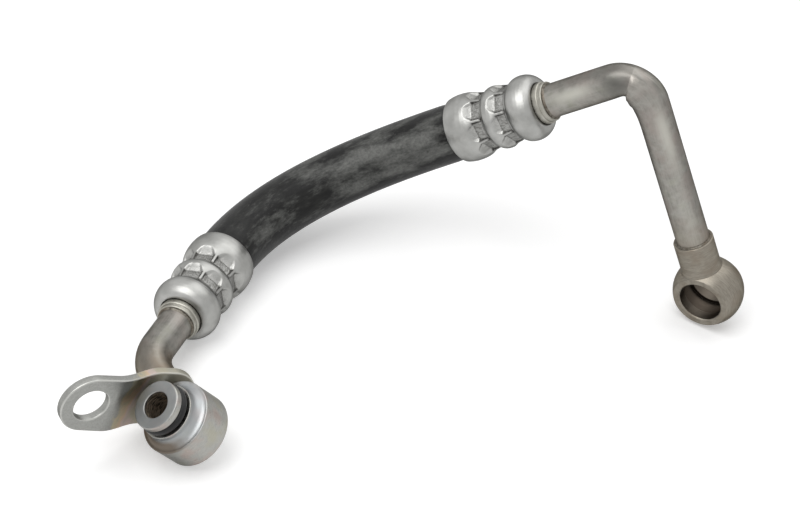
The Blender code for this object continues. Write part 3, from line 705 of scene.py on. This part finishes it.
# Heights are along the pipe from the ferrule's lip; each barb is a land and a slope.
nipple_corners = [(4.3, NIPPLE_END), (4.55, NIPPLE_END), (4.7, 2.25), (4.7, 1.4), (4.8, 1.4), (5.0, 1.2),
                  (5.0, BARBS_FROM)]
for number in range(BARBS):
    barb_top = BARBS_FROM - BARB_LONG * number
    nipple_corners += [(BARB_CREST, barb_top), (BARB_CREST, barb_top - BARB_LAND),
                       (BARB_ROOT, barb_top - BARB_LONG)]
stem_end = BARBS_FROM - BARB_LONG * BARBS
nipple_corners += [(2.3, stem_end), (2.3, -0.2), (4.3, -0.2)]
nipple_profile = eased(nipple_corners + nipple_corners[:1], 0.1, 4)[:-1] * MM
nipple_grid = turned(filled(nipple_profile, 0.5 * MM), 112)
nipple_finish = nipple_steel()
inlet_nipple = skin("inlet_stepped_nipple",
                    [(seated(nipple_grid, INLET_MOUTH, INLET_WAY, UP), nipple_grid)],
                    nipple_finish)
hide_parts("inlet_nipple")


# Inlet ferrule
# The plated sleeve that grips the hose. Eight jaws have pressed two rings of flat pads into it,
# and the metal stands up in small fins between the jaws.

FERRULE_LONG = 23.0
RING_PLACES = (8.4, 15.0)
JAWS = 8
JAW_FROM_AXIS = 6.2
JAW_SIDE = math.radians(20.3)
PAD_SIDE = math.radians(18.0)
SIDE_LINE = math.radians(19.0)
FIN_SPREAD = math.radians(3.6)
INLET_CRIMP_TURN = math.radians(13.1)
OUTLET_CRIMP_TURN = math.radians(37.1)
SLEEVE_SIDES = 320
# Distance along the sleeve from its hose end, and its radius there.
sleeve_stations = np.array([
    (0.0, 7.62), (0.2, 7.84), (1.0, 8.02), (2.2, 8.15), (3.6, 8.13), (4.8, 7.98), (5.8, 7.72),
    (6.8, 7.36), (7.8, 7.02), (8.8, 6.80), (9.7, 6.76), (10.1, 6.92), (10.6, 7.34), (11.2, 7.56),
    (11.9, 7.60), (12.7, 7.48), (13.6, 7.16), (14.6, 6.84), (15.6, 6.68), (16.4, 6.68),
    (16.8, 6.82), (17.3, 7.26), (18.0, 7.64), (18.8, 7.83), (19.6, 7.87), (20.5, 7.76),
    (21.3, 7.50), (22.0, 7.10), (22.5, 6.66), (22.85, 6.10), (23.0, 5.55)])


def step_up(value, low, high):
    """A smooth step from 0 at low to 1 at high."""
    share = np.clip((value - low) / (high - low), 0.0, 1.0)
    return share * share * (3.0 - 2.0 * share)


def sleeve_base(along):
    """Radius of the sleeve between the pads, straight lines smoothed by a running mean."""
    fine = np.linspace(-1.0, 24.0, 2501)
    radius = np.interp(fine, sleeve_stations[:, 0], sleeve_stations[:, 1])
    window = np.hanning(61)
    smooth = np.convolve(np.pad(radius, 30, mode="edge"), window / window.sum(), mode="valid")
    keep = step_up(fine, 21.8, 22.8) + step_up(fine, 0.5, 0.1)
    return np.interp(along, fine, smooth * (1.0 - keep) + radius * keep)


def pressed(along, turn):
    """Radius of the sleeve, how dark its creases are painted for their shade and how far a pad is pressed,
    place by place.

    A pad is the plane of the jaw's face, its distance from the axis / cos a.  It takes over from
    the sleeve inside a rectangle, after a long scooped ramp on the bell's side.  The metal
    between two pads stands up in a fin, lowered in a nook behind the pads.
    """
    pitch = 2.0 * np.pi / JAWS
    off = np.abs((turn + pitch / 2.0) % pitch - pitch / 2.0)
    radius = sleeve_base(along) + 0.0 * turn
    crease_shade, worked = np.zeros_like(radius), np.zeros_like(radius)
    for place in RING_PLACES:
        near = along - place
        behind = step_up(near, 1.32, 1.12)
        flat_part = step_up(near, -1.3, -0.95) * behind
        around = step_up(off, JAW_SIDE, PAD_SIDE)
        narrow = np.clip((near + 3.1) / 2.1, 0.0, 1.0) ** 0.5
        scooped = step_up(off, JAW_SIDE * narrow + 0.01, math.radians(15.0) * narrow)
        scoop = step_up(near, -3.0, -0.95) * behind * np.where(near < -1.0, scooped, around)
        lowered = np.minimum(JAW_FROM_AXIS / np.cos(off), radius)
        radius = radius * (1.0 - scoop) + lowered * scoop
        # Side lines, the wall behind the pads, the ramp's end and the nooks are marked for painted shade.
        side_line = np.exp(-((off - SIDE_LINE) / math.radians(1.5)) ** 2)
        fin = np.exp(-((off - pitch / 2.0) / FIN_SPREAD) ** 2)
        nook = fin * np.exp(-((near - 1.2) / 0.42) ** 2)
        wall_line = np.exp(-((near - 1.26) / 0.15) ** 2)
        wall_line = wall_line * step_up(off, math.radians(22.0), math.radians(20.0))
        ramp_line = 0.5 * np.exp(-((near + 1.05) / 0.13) ** 2) * around
        crease_shade = np.maximum(crease_shade, side_line * step_up(np.abs(near), 1.4, 1.0))
        crease_shade = np.maximum(np.maximum(crease_shade, wall_line), np.maximum(ramp_line, nook))
        worked = np.maximum(worked, np.maximum(flat_part, 0.6 * scoop) * around)
        radius += 0.10 * fin * step_up(near, -1.9, -0.6) * step_up(near, 1.1, 0.3)
        radius -= 0.22 * nook
    return radius, np.clip(crease_shade, 0.0, 1.0), worked


def ferrule_grid():
    """Grid of the sleeve: its pressed outside by place along and angle, then its plain inside."""
    along = np.linspace(0.0, FERRULE_LONG, 240)[:, None]
    turn = (np.arange(SLEEVE_SIDES) * 2.0 * np.pi / SLEEVE_SIDES)[None, :]
    radius, crease_shade, worked = pressed(along, turn)
    inner = eased([(5.5, 23.0), (5.12, 22.98), (5.06, 22.8), (5.06, 21.6), (5.7, 21.6),
                   (5.7, 6.0), (7.1, 4.8), (7.1, 0.2), (7.62, 0.0)], 0.12)[1:-1]
    radius = np.vstack([radius, inner[:, :1] + 0.0 * turn])
    along = np.vstack([along, inner[:, 1:]]) - FERRULE_LONG
    grid = np.stack([radius * np.cos(turn), radius * np.sin(turn), along + 0.0 * turn], axis=2)
    plain = np.zeros((len(inner), SLEEVE_SIDES))
    return grid * MM, {"crease_shade": np.vstack([crease_shade, plain]), "worked": np.vstack([worked, plain])}


def ferrule_alloy():
    """Satin plated sleeve: fine blasted grain, soft clouding, scored pads, painted shade in the creases.
    """
    mat = finish_of("ferrule_alloy", (0.58, 0.58, 0.57), 0.36, 1.0, 0.25)
    cloud = noise(mat, 240.0)
    speck = noise(mat, 2300.0, 4.0, 0.7)
    grain = noise(mat, 6500.0, 2.0)
    tone = layered(mat, (0.31, 0.31, 0.297),
                   (cloud, 0.3, 0.7, 1.0, (0.44, 0.44, 0.425)),
                   (speck, 0.60, 0.75, 0.35, (0.24, 0.235, 0.225)))
    # Painted shade in the creases and nooks, speckled.
    crease_shade = times(mat, mark(mat, "crease_shade"), ranged(mat, speck, 0.30, 0.52, 0.5, 1.0))
    scores = noise(mat, 3600.0, 3.0, 0.7, (1.0, 1.0, 0.3))
    scored = times(mat, mark(mat, "worked"), ranged(mat, scores, 0.45, 0.6, 0.0, 1.0))
    tone = blended(mat, times(mat, scored, 0.7), tone, (0.15, 0.145, 0.135))
    tone = blended(mat, crease_shade, tone, (0.03, 0.028, 0.025))
    rough = ranged(mat, cloud, 0.3, 0.7, 0.33, 0.41)
    rough = plus(mat, rough, times(mat, crease_shade, 0.3))
    return wear_in(mat, tone, rough, [(grain, 0.008 * MM), (speck, 0.02 * MM), (scored, 0.05 * MM)])


def turned_about(grid, angle):
    """The grid turned about its own axis."""
    c, s = math.cos(angle), math.sin(angle)
    return grid @ np.array([(c, s, 0.0), (-s, c, 0.0), (0.0, 0.0, 1.0)])


sleeve_grid, sleeve_marks = ferrule_grid()
sleeve_finish = ferrule_alloy()
inlet_ferrule = skin("inlet_crimped_ferrule",
                     [(seated(turned_about(sleeve_grid, INLET_CRIMP_TURN), INLET_MOUTH, INLET_WAY, UP),
                       sleeve_grid)], sleeve_finish, sleeve_marks)
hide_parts("inlet_ferrule")


# Hose
# Moulded rubber hose, pushed over both nipples and gripped by the ferrules. It bows in one
# smooth curve between them, and its black skin is dusty and scuffed from use.

OUTLET_MOUTH = np.array((0.01679, 0.04126, 0.0475))
OUTLET_WAY = np.array((0.758387, -0.197545, 0.621148))
INLET_PULL = 82.4 * MM
OUTLET_PULL = 69.2 * MM
HOSE_RADIUS = 7.0
HOSE_AT_LIP = 6.8
HOSE_CRIMPED = 5.4
HOSE_BORE = 4.0 * MM
HOSE_SIDES = 112


def hose_route(count=260):
    """Points and directions of the hose, and how far each point is inside a ferrule, negative.

    A straight stretch in each ferrule, and between them the cubic
    start (2t^3 - 3t^2 + 1) + pull (t^3 - 2t^2 + t) + end (3t^2 - 2t^3) + pull (t^3 - t^2).
    """
    start = INLET_MOUTH - INLET_WAY * FERRULE_LONG * MM
    end = OUTLET_MOUTH - OUTLET_WAY * FERRULE_LONG * MM
    pull_in, pull_out = -INLET_WAY * INLET_PULL, OUTLET_WAY * OUTLET_PULL
    t = np.linspace(0.0, 1.0, count)[:, None]
    free = (start * (2 * t ** 3 - 3 * t ** 2 + 1) + pull_in * (t ** 3 - 2 * t ** 2 + t)
            + end * (3 * t ** 2 - 2 * t ** 3) + pull_out * (t ** 3 - t ** 2))
    ways = (start * (6 * t ** 2 - 6 * t) + pull_in * (3 * t ** 2 - 4 * t + 1)
            + end * (6 * t - 6 * t ** 2) + pull_out * (3 * t ** 2 - 2 * t))
    ways = unit(ways)
    depth = np.array((21.3, 12.0, 6.0, 5.4, 4.8, 3.0, 1.5, 0.7))[:, None] * MM
    points = np.vstack([start + INLET_WAY * depth, free, end + OUTLET_WAY * depth[::-1]])
    ways = np.vstack([-INLET_WAY + 0.0 * depth, ways, OUTLET_WAY + 0.0 * depth])
    return points, ways, np.concatenate([-depth[:, 0], 0.0 * t[:, 0], -depth[::-1, 0]])


def hose_radius(points, hidden):
    """Radius of the hose: full where it is free, a little less at the ferrule's lip and least
    under the crimps, with smooth steps between."""
    along = distance_along(points)
    free = np.flatnonzero(hidden == 0.0)
    from_lip = np.minimum(along - along[free[0]], along[free[-1]] - along)
    radius = HOSE_AT_LIP + (HOSE_RADIUS - HOSE_AT_LIP) * step_up(from_lip / MM, 0.0, 3.5)
    squeezed = (HOSE_AT_LIP - HOSE_CRIMPED) * step_up(-from_lip / MM, 4.8, 6.0)
    return (radius - squeezed) * MM


def hose_rubber():
    """Black rubber with grey dust rubbed into it, and a fine cloth-like moulded texture."""
    mat = finish_of("hose_rubber", (0.02, 0.02, 0.021), 0.55, 0.0)
    shader_of(mat).inputs["Specular IOR Level"].default_value = 0.22
    patches = noise(mat, 120.0, 5.0, 0.62, (1.0, 1.0, 0.55))
    scuffs = noise(mat, 420.0, 5.0, 0.7, (1.0, 1.0, 0.3))
    weave = noise(mat, 1700.0, 3.0, 0.6, (1.0, 1.0, 0.7))
    edges = ranged(mat, scuffs, 0.3, 0.7, -0.28, 0.28)
    dust = plus(mat, mark(mat, "dusty"), ranged(mat, patches, 0.3, 0.7, -0.35, 0.35))
    dust = ranged(mat, plus(mat, dust, edges), 0.12, 0.78, 0.0, 1.0)
    film = times(mat, dust, ranged(mat, weave, 0.35, 0.65, 0.62, 1.0))
    thin = times(mat, ranged(mat, scuffs, 0.42, 0.7, 0.0, 1.0),
                 ranged(mat, patches, 0.36, 0.6, 0.15, 1.0))
    dark = blended(mat, thin, (0.0045, 0.0045, 0.0043), (0.045, 0.046, 0.043))
    tone = blended(mat, film, dark, (0.172, 0.174, 0.165))
    flecks = ranged(mat, noise(mat, 900.0, 4.0, 0.75, (1.0, 1.0, 0.5)), 0.60, 0.68, 0.0, 0.5)
    flecks = times(mat, flecks, ranged(mat, patches, 0.4, 0.6, 0.1, 1.0))
    tone = blended(mat, flecks, tone, (0.11, 0.11, 0.105))
    rough = ranged(mat, dust, 0.0, 1.0, 0.46, 0.66)
    return wear_in(mat, tone, rough, [(weave, 0.05 * MM), (scuffs, 0.05 * MM)])


hose_points, hose_ways, hose_hidden = hose_route()
hose_level = unit(np.cross(OUTLET_WAY, INLET_WAY))
hose_size = hose_radius(hose_points, hose_hidden)[:, None]
hose_placed, hose_flat = tube(hose_points, hose_ways, hose_level, hose_size, HOSE_BORE, HOSE_SIDES)
hose_dust = smudges(
    hose_flat, (0.85, 68.0, 330.0, 14.0, 30.0), (0.35, 86.0, 330.0, 9.0, 16.0),
    (0.75, 62.0, 20.0, 7.0, 16.0), (0.8, 76.0, 15.0, 8.0, 16.0), (0.5, 89.0, 6.0, 7.0, 14.0),
    (0.45, 32.0, 2.0, 9.0, 22.0), (0.6, 44.0, 150.0, 16.0, 60.0), (0.6, 80.0, 200.0, 14.0, 50.0),
    (0.4, 60.0, 255.0, 12.0, 25.0))
hose = skin("bowed_rubber_hose", [(hose_placed, hose_flat)], hose_rubber(),
            {"dusty": hose_dust})
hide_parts("rubber_hose")


# Outlet ferrule and nipple
# The same plated sleeve and turned insert at the hose's other end, crimped on with the jaws at
# another turn.

outlet_ferrule = skin("outlet_crimped_ferrule",
                      [(seated(turned_about(sleeve_grid, OUTLET_CRIMP_TURN), OUTLET_MOUTH, OUTLET_WAY, UP),
                        sleeve_grid)], sleeve_finish, sleeve_marks)
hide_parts("outlet_ferrule")
outlet_nipple = skin("outlet_stepped_nipple",
                     [(seated(nipple_grid, OUTLET_MOUTH, OUTLET_WAY, UP), nipple_grid)],
                     nipple_finish)
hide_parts("outlet_nipple")


# Outlet pipe
# The longer steel pipe. It rises from the hose, turns down in a tight pressed bend and ends in
# the banjo's neck; the bend is a little flattened outside and folded inside.

BANJO_WAY = np.array((0.439954, -0.052461, -0.896486))
OUTLET_LEG = 18.4 * MM
OUTLET_BEND = 6.5 * MM
OUTLET_LAST = 44.3 * MM
CREASE_PLACE = 4.5


def outlet_radius(points, sides):
    """Radius of the pipe, flattened outside the bend and creased inside it.

    Inside the bend cos a = 1.  The crease is a dent, exp(-(d / width)^2), that deepens slowly
    towards it and rises at once behind it.  The pressed metal bulges past it in a wider curve
    of the same kind, and the outside is flattened by another.
    """
    angle = np.arange(sides) * 2.0 * np.pi / sides
    along = (distance_along(points) - OUTLET_LEG)[:, None] / MM
    cosine = np.cos(angle)[None, :]
    facing_in = np.clip(cosine, 0.0, 1.0) ** 2
    turn = (np.degrees(angle)[None, :] + 180.0) % 360.0 - 180.0
    reach = step_up(turn, -150.0, -118.0) * step_up(turn, 110.0, 60.0) * (0.42 + 0.58 * facing_in)
    past = along - CREASE_PLACE
    dent = np.where(past < 0.0, np.exp(-(past / 2.4) ** 2), np.exp(-(past / 0.30) ** 2))
    bulge = np.exp(-((along - 9.0) / 4.2) ** 2) * step_up(past, 0.1, 0.9)
    oval = np.exp(-((along - 5.8) / 4.5) ** 2) * np.clip(-cosine, 0.0, 1.0) ** 2
    return PIPE_RADIUS * (1.0 - 0.15 * dent * reach + 0.26 * bulge * facing_in - 0.05 * oval)


outlet_start = OUTLET_MOUTH + OUTLET_WAY * PIPE_SEAT
outlet_points, outlet_ways = bent_route(outlet_start, OUTLET_WAY, OUTLET_LEG, OUTLET_BEND,
                                        BANJO_WAY, OUTLET_LAST)
outlet_level = unit(np.cross(OUTLET_WAY, BANJO_WAY))
outlet_placed, outlet_flat = tube(outlet_points, outlet_ways, outlet_level,
                                  outlet_radius(outlet_points, PIPE_SIDES), PIPE_BORE, PIPE_SIDES)
# The first patch, painted shade before the bend, ends at the crease.
outlet_patches_and_light = smudges(outlet_flat, (0.85, 20.6, 250.0, 4.2, 62.0))
outlet_patches_and_light *= outlet_flat[..., 2] < OUTLET_LEG + CREASE_PLACE * MM
# Further darker patches, and with a minus painted highlights along both legs.
outlet_patches_and_light += smudges(
    outlet_flat, (0.45, 30.0, 325.0, 22.0, 24.0), (0.35, 12.0, 200.0, 8.0, 22.0),
    (0.3, 48.0, 200.0, 20.0, 18.0), (0.5, 40.0, 90.0, 14.0, 50.0), (0.3, 29.0, 235.0, 4.0, 30.0),
    (-0.85, 10.0, 246.0, 6.0, 20.0), (-0.75, 36.0, 234.0, 10.0, 22.0),
    (-0.25, 60.0, 240.0, 8.0, 24.0), (-0.4, 30.0, 60.0, 10.0, 30.0))
outlet_pipe = skin("outlet_bent_pipe", [(outlet_placed, outlet_flat)],
                   pipe_steel("outlet_pipe_steel", 58.0 * MM, 74.0 * MM), {"patches_and_painted_light": outlet_patches_and_light})
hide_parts("outlet_pipe")
braze_ring("outlet_nipple_braze", NIPPLE_END, OUTLET_MOUTH, OUTLET_WAY, braze, 0.12)


# Banjo eye
# A turned steel ball with two flat faces, bored for a hollow bolt and recessed inside so that
# oil can flow round the bolt. The pipe is brazed into its neck.

BALL_CENTRE = np.array((0.064158, 0.032766, 0.008539))
HOLE_WAY = np.array((0.38769, 0.911565, 0.136917))
BALL_RADIUS = 8.5
EYE_HALF = 5.1
BOLT_HOLE = 5.2
RECESS_RADIUS = 6.0
RECESS_HALF = 2.2
OIL_HOLE = 2.5
NECK_RADIUS = 4.8
NECK_BORE = 4.3
NECK_FLOOR = 9.2
NECK_END = 15.2


def drilled(piece, origin, way, radius, reach, sides=64):
    """Cut a plain round hole into a piece, from the origin along the way."""
    grid = turned(np.array([(0.0, 0.0), (radius, 0.0), (radius, reach), (0.0, reach)]), sides)
    mesh = bpy.data.meshes.new("drill")
    points = seated(grid, origin, way, HOLE_WAY).reshape(-1, 3)
    mesh.from_pydata(points.tolist(), [], quads(grid.shape, 0, rows_close=False).tolist())
    merged(mesh)
    drill = shown("drill", mesh)
    step = piece.modifiers.new("hole", "BOOLEAN")
    step.operation = "DIFFERENCE"
    step.solver = "EXACT"
    step.object = drill
    cut = bpy.data.meshes.new_from_object(piece.evaluated_get(bpy.context.evaluated_depsgraph_get()))
    piece.modifiers.remove(step)
    whole = piece.data
    piece.data = cut
    bpy.data.objects.remove(drill)
    bpy.data.meshes.remove(whole)
    cut.name = piece.name


def banjo_steel():
    """Brown-grey turned steel, heat-stained, with fine tool rings and painted shade inside its hole and
    neck.
    """
    mat = finish_of("banjo_steel", (0.30, 0.28, 0.25), 0.42, 1.0, 0.3)
    rings = noise(mat, 4300.0, 4.0, 0.65, (0.12, 0.12, 1.0))
    cloud = noise(mat, 230.0, 4.0)
    tone = layered(mat, (0.180, 0.162, 0.134),
                   (rings, 0.3, 0.7, 1.0, (0.305, 0.282, 0.240)),
                   (cloud, 0.45, 0.7, 0.6, (0.19, 0.155, 0.12)))
    # Painted shade inside the hole and the neck's bore.
    tone = blended(mat, mark(mat, "inside"), tone, (0.062, 0.05, 0.04))
    rough = ranged(mat, rings, 0.3, 0.7, 0.34, 0.5)
    return wear_in(mat, tone, rough, [(rings, 0.02 * MM), (noise(mat, 3200.0), 0.008 * MM)])


latitude = math.asin(EYE_HALF / BALL_RADIUS)
sweep = np.linspace(latitude, -latitude, 41)
band = BALL_RADIUS * np.stack([np.cos(sweep), np.sin(sweep)], axis=1)
face_radius = BALL_RADIUS * math.cos(latitude)
half_corners = [(BOLT_HOLE, RECESS_HALF), (BOLT_HOLE, EYE_HALF - 0.3), (BOLT_HOLE + 0.3, EYE_HALF),
                (face_radius, EYE_HALF)]
eye_corners = [(radius, -height) for radius, height in half_corners[::-1]]
eye_corners += [(RECESS_RADIUS, -RECESS_HALF), (RECESS_RADIUS, RECESS_HALF)] + half_corners
eye_profile = np.vstack([band, eased(eye_corners, 0.1)[1:-1]])
eye_grid = turned(filled(eye_profile, 0.4) * MM, 160)
# The hole is painted darker inside its chamfers as shade, and darkest in its recess.
eye_height = np.abs(eye_grid[..., 2]) / MM
eye_shade_depth = 0.75 * (eye_height < EYE_HALF - 0.35) + 0.2 * (eye_height < RECESS_HALF + 0.05)
eye_painted_shade = eye_shade_depth * (np.hypot(eye_grid[..., 0], eye_grid[..., 1]) < (RECESS_RADIUS + 0.05) * MM)
banjo_finish = banjo_steel()
eye = skin("banjo_eye", [(seated(eye_grid, BALL_CENTRE, HOLE_WAY, -BANJO_WAY), eye_grid)],
           banjo_finish, {"inside": eye_painted_shade})
drilled(eye, BALL_CENTRE, -BANJO_WAY, OIL_HOLE * MM, NECK_FLOOR * MM)
eye.data.set_sharp_from_angle(angle=SHARP_FROM)
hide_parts("banjo_fitting")

neck_corners = [(NECK_BORE, NECK_END), (NECK_RADIUS - 0.18, NECK_END), (NECK_RADIUS, NECK_END - 0.18),
                (NECK_RADIUS, 8.0), (5.15, 6.55), (4.0, 6.2), (OIL_HOLE, 6.2),
                (OIL_HOLE, NECK_FLOOR), (NECK_BORE, NECK_FLOOR)]
neck_cuts = (0.1, 0.1, 0.1, 0.9, 0.1, 0.1, 0.1, 0.1)
neck_profile = eased(neck_corners + neck_corners[:1], neck_cuts, 6)[:-1] * MM
neck_grid = turned(filled(neck_profile, 0.4 * MM), 128)
# The neck's bore is painted dark as shade too.
neck = skin("banjo_neck", [(seated(neck_grid, BALL_CENTRE, -BANJO_WAY, HOLE_WAY), neck_grid)],
            banjo_finish,
            {"inside": np.hypot(neck_grid[..., 0], neck_grid[..., 1]) < (NECK_BORE + 0.01) * MM})
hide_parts("banjo_fitting")
braze_ring("banjo_neck_braze", NECK_END, BALL_CENTRE, -BANJO_WAY, braze, 0.18)


# Table top
# A plain pale surface, large enough to fill the picture. It glows a little to the rays that show
# the background, so that only the shadow stands out on it.

FLOOR_HALF = 3.0
FLOOR_GLOW = 0.30

floor_mesh = bpy.data.meshes.new("table_top")
floor_corners = [(-1.0, -1.0, 0.0), (1.0, -1.0, 0.0), (1.0, 1.0, 0.0), (-1.0, 1.0, 0.0)]
floor_mesh.from_pydata((FLOOR_HALF * np.array(floor_corners)).tolist(), [], [(0, 1, 2, 3)])
floor = shown("table_top", floor_mesh)


def background_rays(owner):
    """1 for the rays that show the background, camera, glossy and transmission rays, else 0."""
    found = 0.0
    for kind in ("Is Camera Ray", "Is Glossy Ray", "Is Transmission Ray"):
        ray = node(owner, "LightPath", {}, kind)
        found = node(owner, "Math", {0: found, 1: ray}, operation="MAXIMUM")
    return found


floor_paint = finish_of("pale_paint", (0.90, 0.90, 0.90), 0.9, 0.0)
paint_shader = shader_of(floor_paint)
paint_shader.inputs["Specular IOR Level"].default_value = 0.0
paint_shader.inputs["Emission Color"].default_value = (1.0, 1.0, 1.0, 1.0)
floor_glow = times(floor_paint, background_rays(floor_paint), FLOOR_GLOW)
floor_paint.node_tree.links.new(floor_glow, paint_shader.inputs["Emission Strength"])
floor_mesh.materials.append(floor_paint)


# Light
# A white room that casts less light than it shows, with a soft lamp in front to the left and a
# larger, weaker one behind to the right.

ROOM_LIGHT = 0.40
ROOM_SHOWN = 1.0
LAMP_AIM = (0.0, 0.0, 0.02)

world = bpy.data.worlds.new("white_room")
bpy.context.scene.world = world
world.use_nodes = True
backdrop = world.node_tree.nodes["Background"]
backdrop.inputs["Color"].default_value = (1.0, 1.0, 1.0, 1.0)
room_strength = ranged(world, background_rays(world), 0.0, 1.0, ROOM_LIGHT, ROOM_SHOWN)
world.node_tree.links.new(room_strength, backdrop.inputs["Strength"])


def soft_lamp(name, place, size, power):
    """A square area lamp at a place, turned towards the line."""
    data = bpy.data.lights.new(name, "AREA")
    data.size = size
    data.energy = power
    lamp = shown(name, data)
    lamp.location = place
    away = np.array(place) - LAMP_AIM
    heading = math.atan2(away[0], -away[1])
    pitch = math.atan2(math.hypot(away[0], away[1]), away[2])
    lamp.rotation_euler = (pitch, 0.0, heading)


soft_lamp("front_lamp", (-0.30, -0.22, 0.72), size=0.65, power=3.6)
soft_lamp("overhead_lamp", (0.25, 0.45, 0.85), size=0.9, power=2.6)


# Camera
# It looks down on the line from the front, as the photograph does. Its place follows from the
# widths of the pipes and the ellipses of the holes there.

camera_data = bpy.data.cameras.new("camera")
camera_data.sensor_width = 36.0
camera_data.lens = 87.75
camera_data.clip_start = 0.01
camera = shown("camera", camera_data)
right = (0.98527, 0.12098, 0.12084)
upward = (-0.17004, 0.61884, 0.76689)
backward = (0.018, -0.77615, 0.6303)
stand = (-0.00122, -0.33548, 0.29863)
rows = np.column_stack([right, upward, backward, stand])
camera.matrix_world = Matrix([*rows.tolist(), (0.0, 0.0, 0.0, 1.0)])
bpy.context.scene.camera = camera
bpy.context.scene.view_settings.view_transform = "Standard"
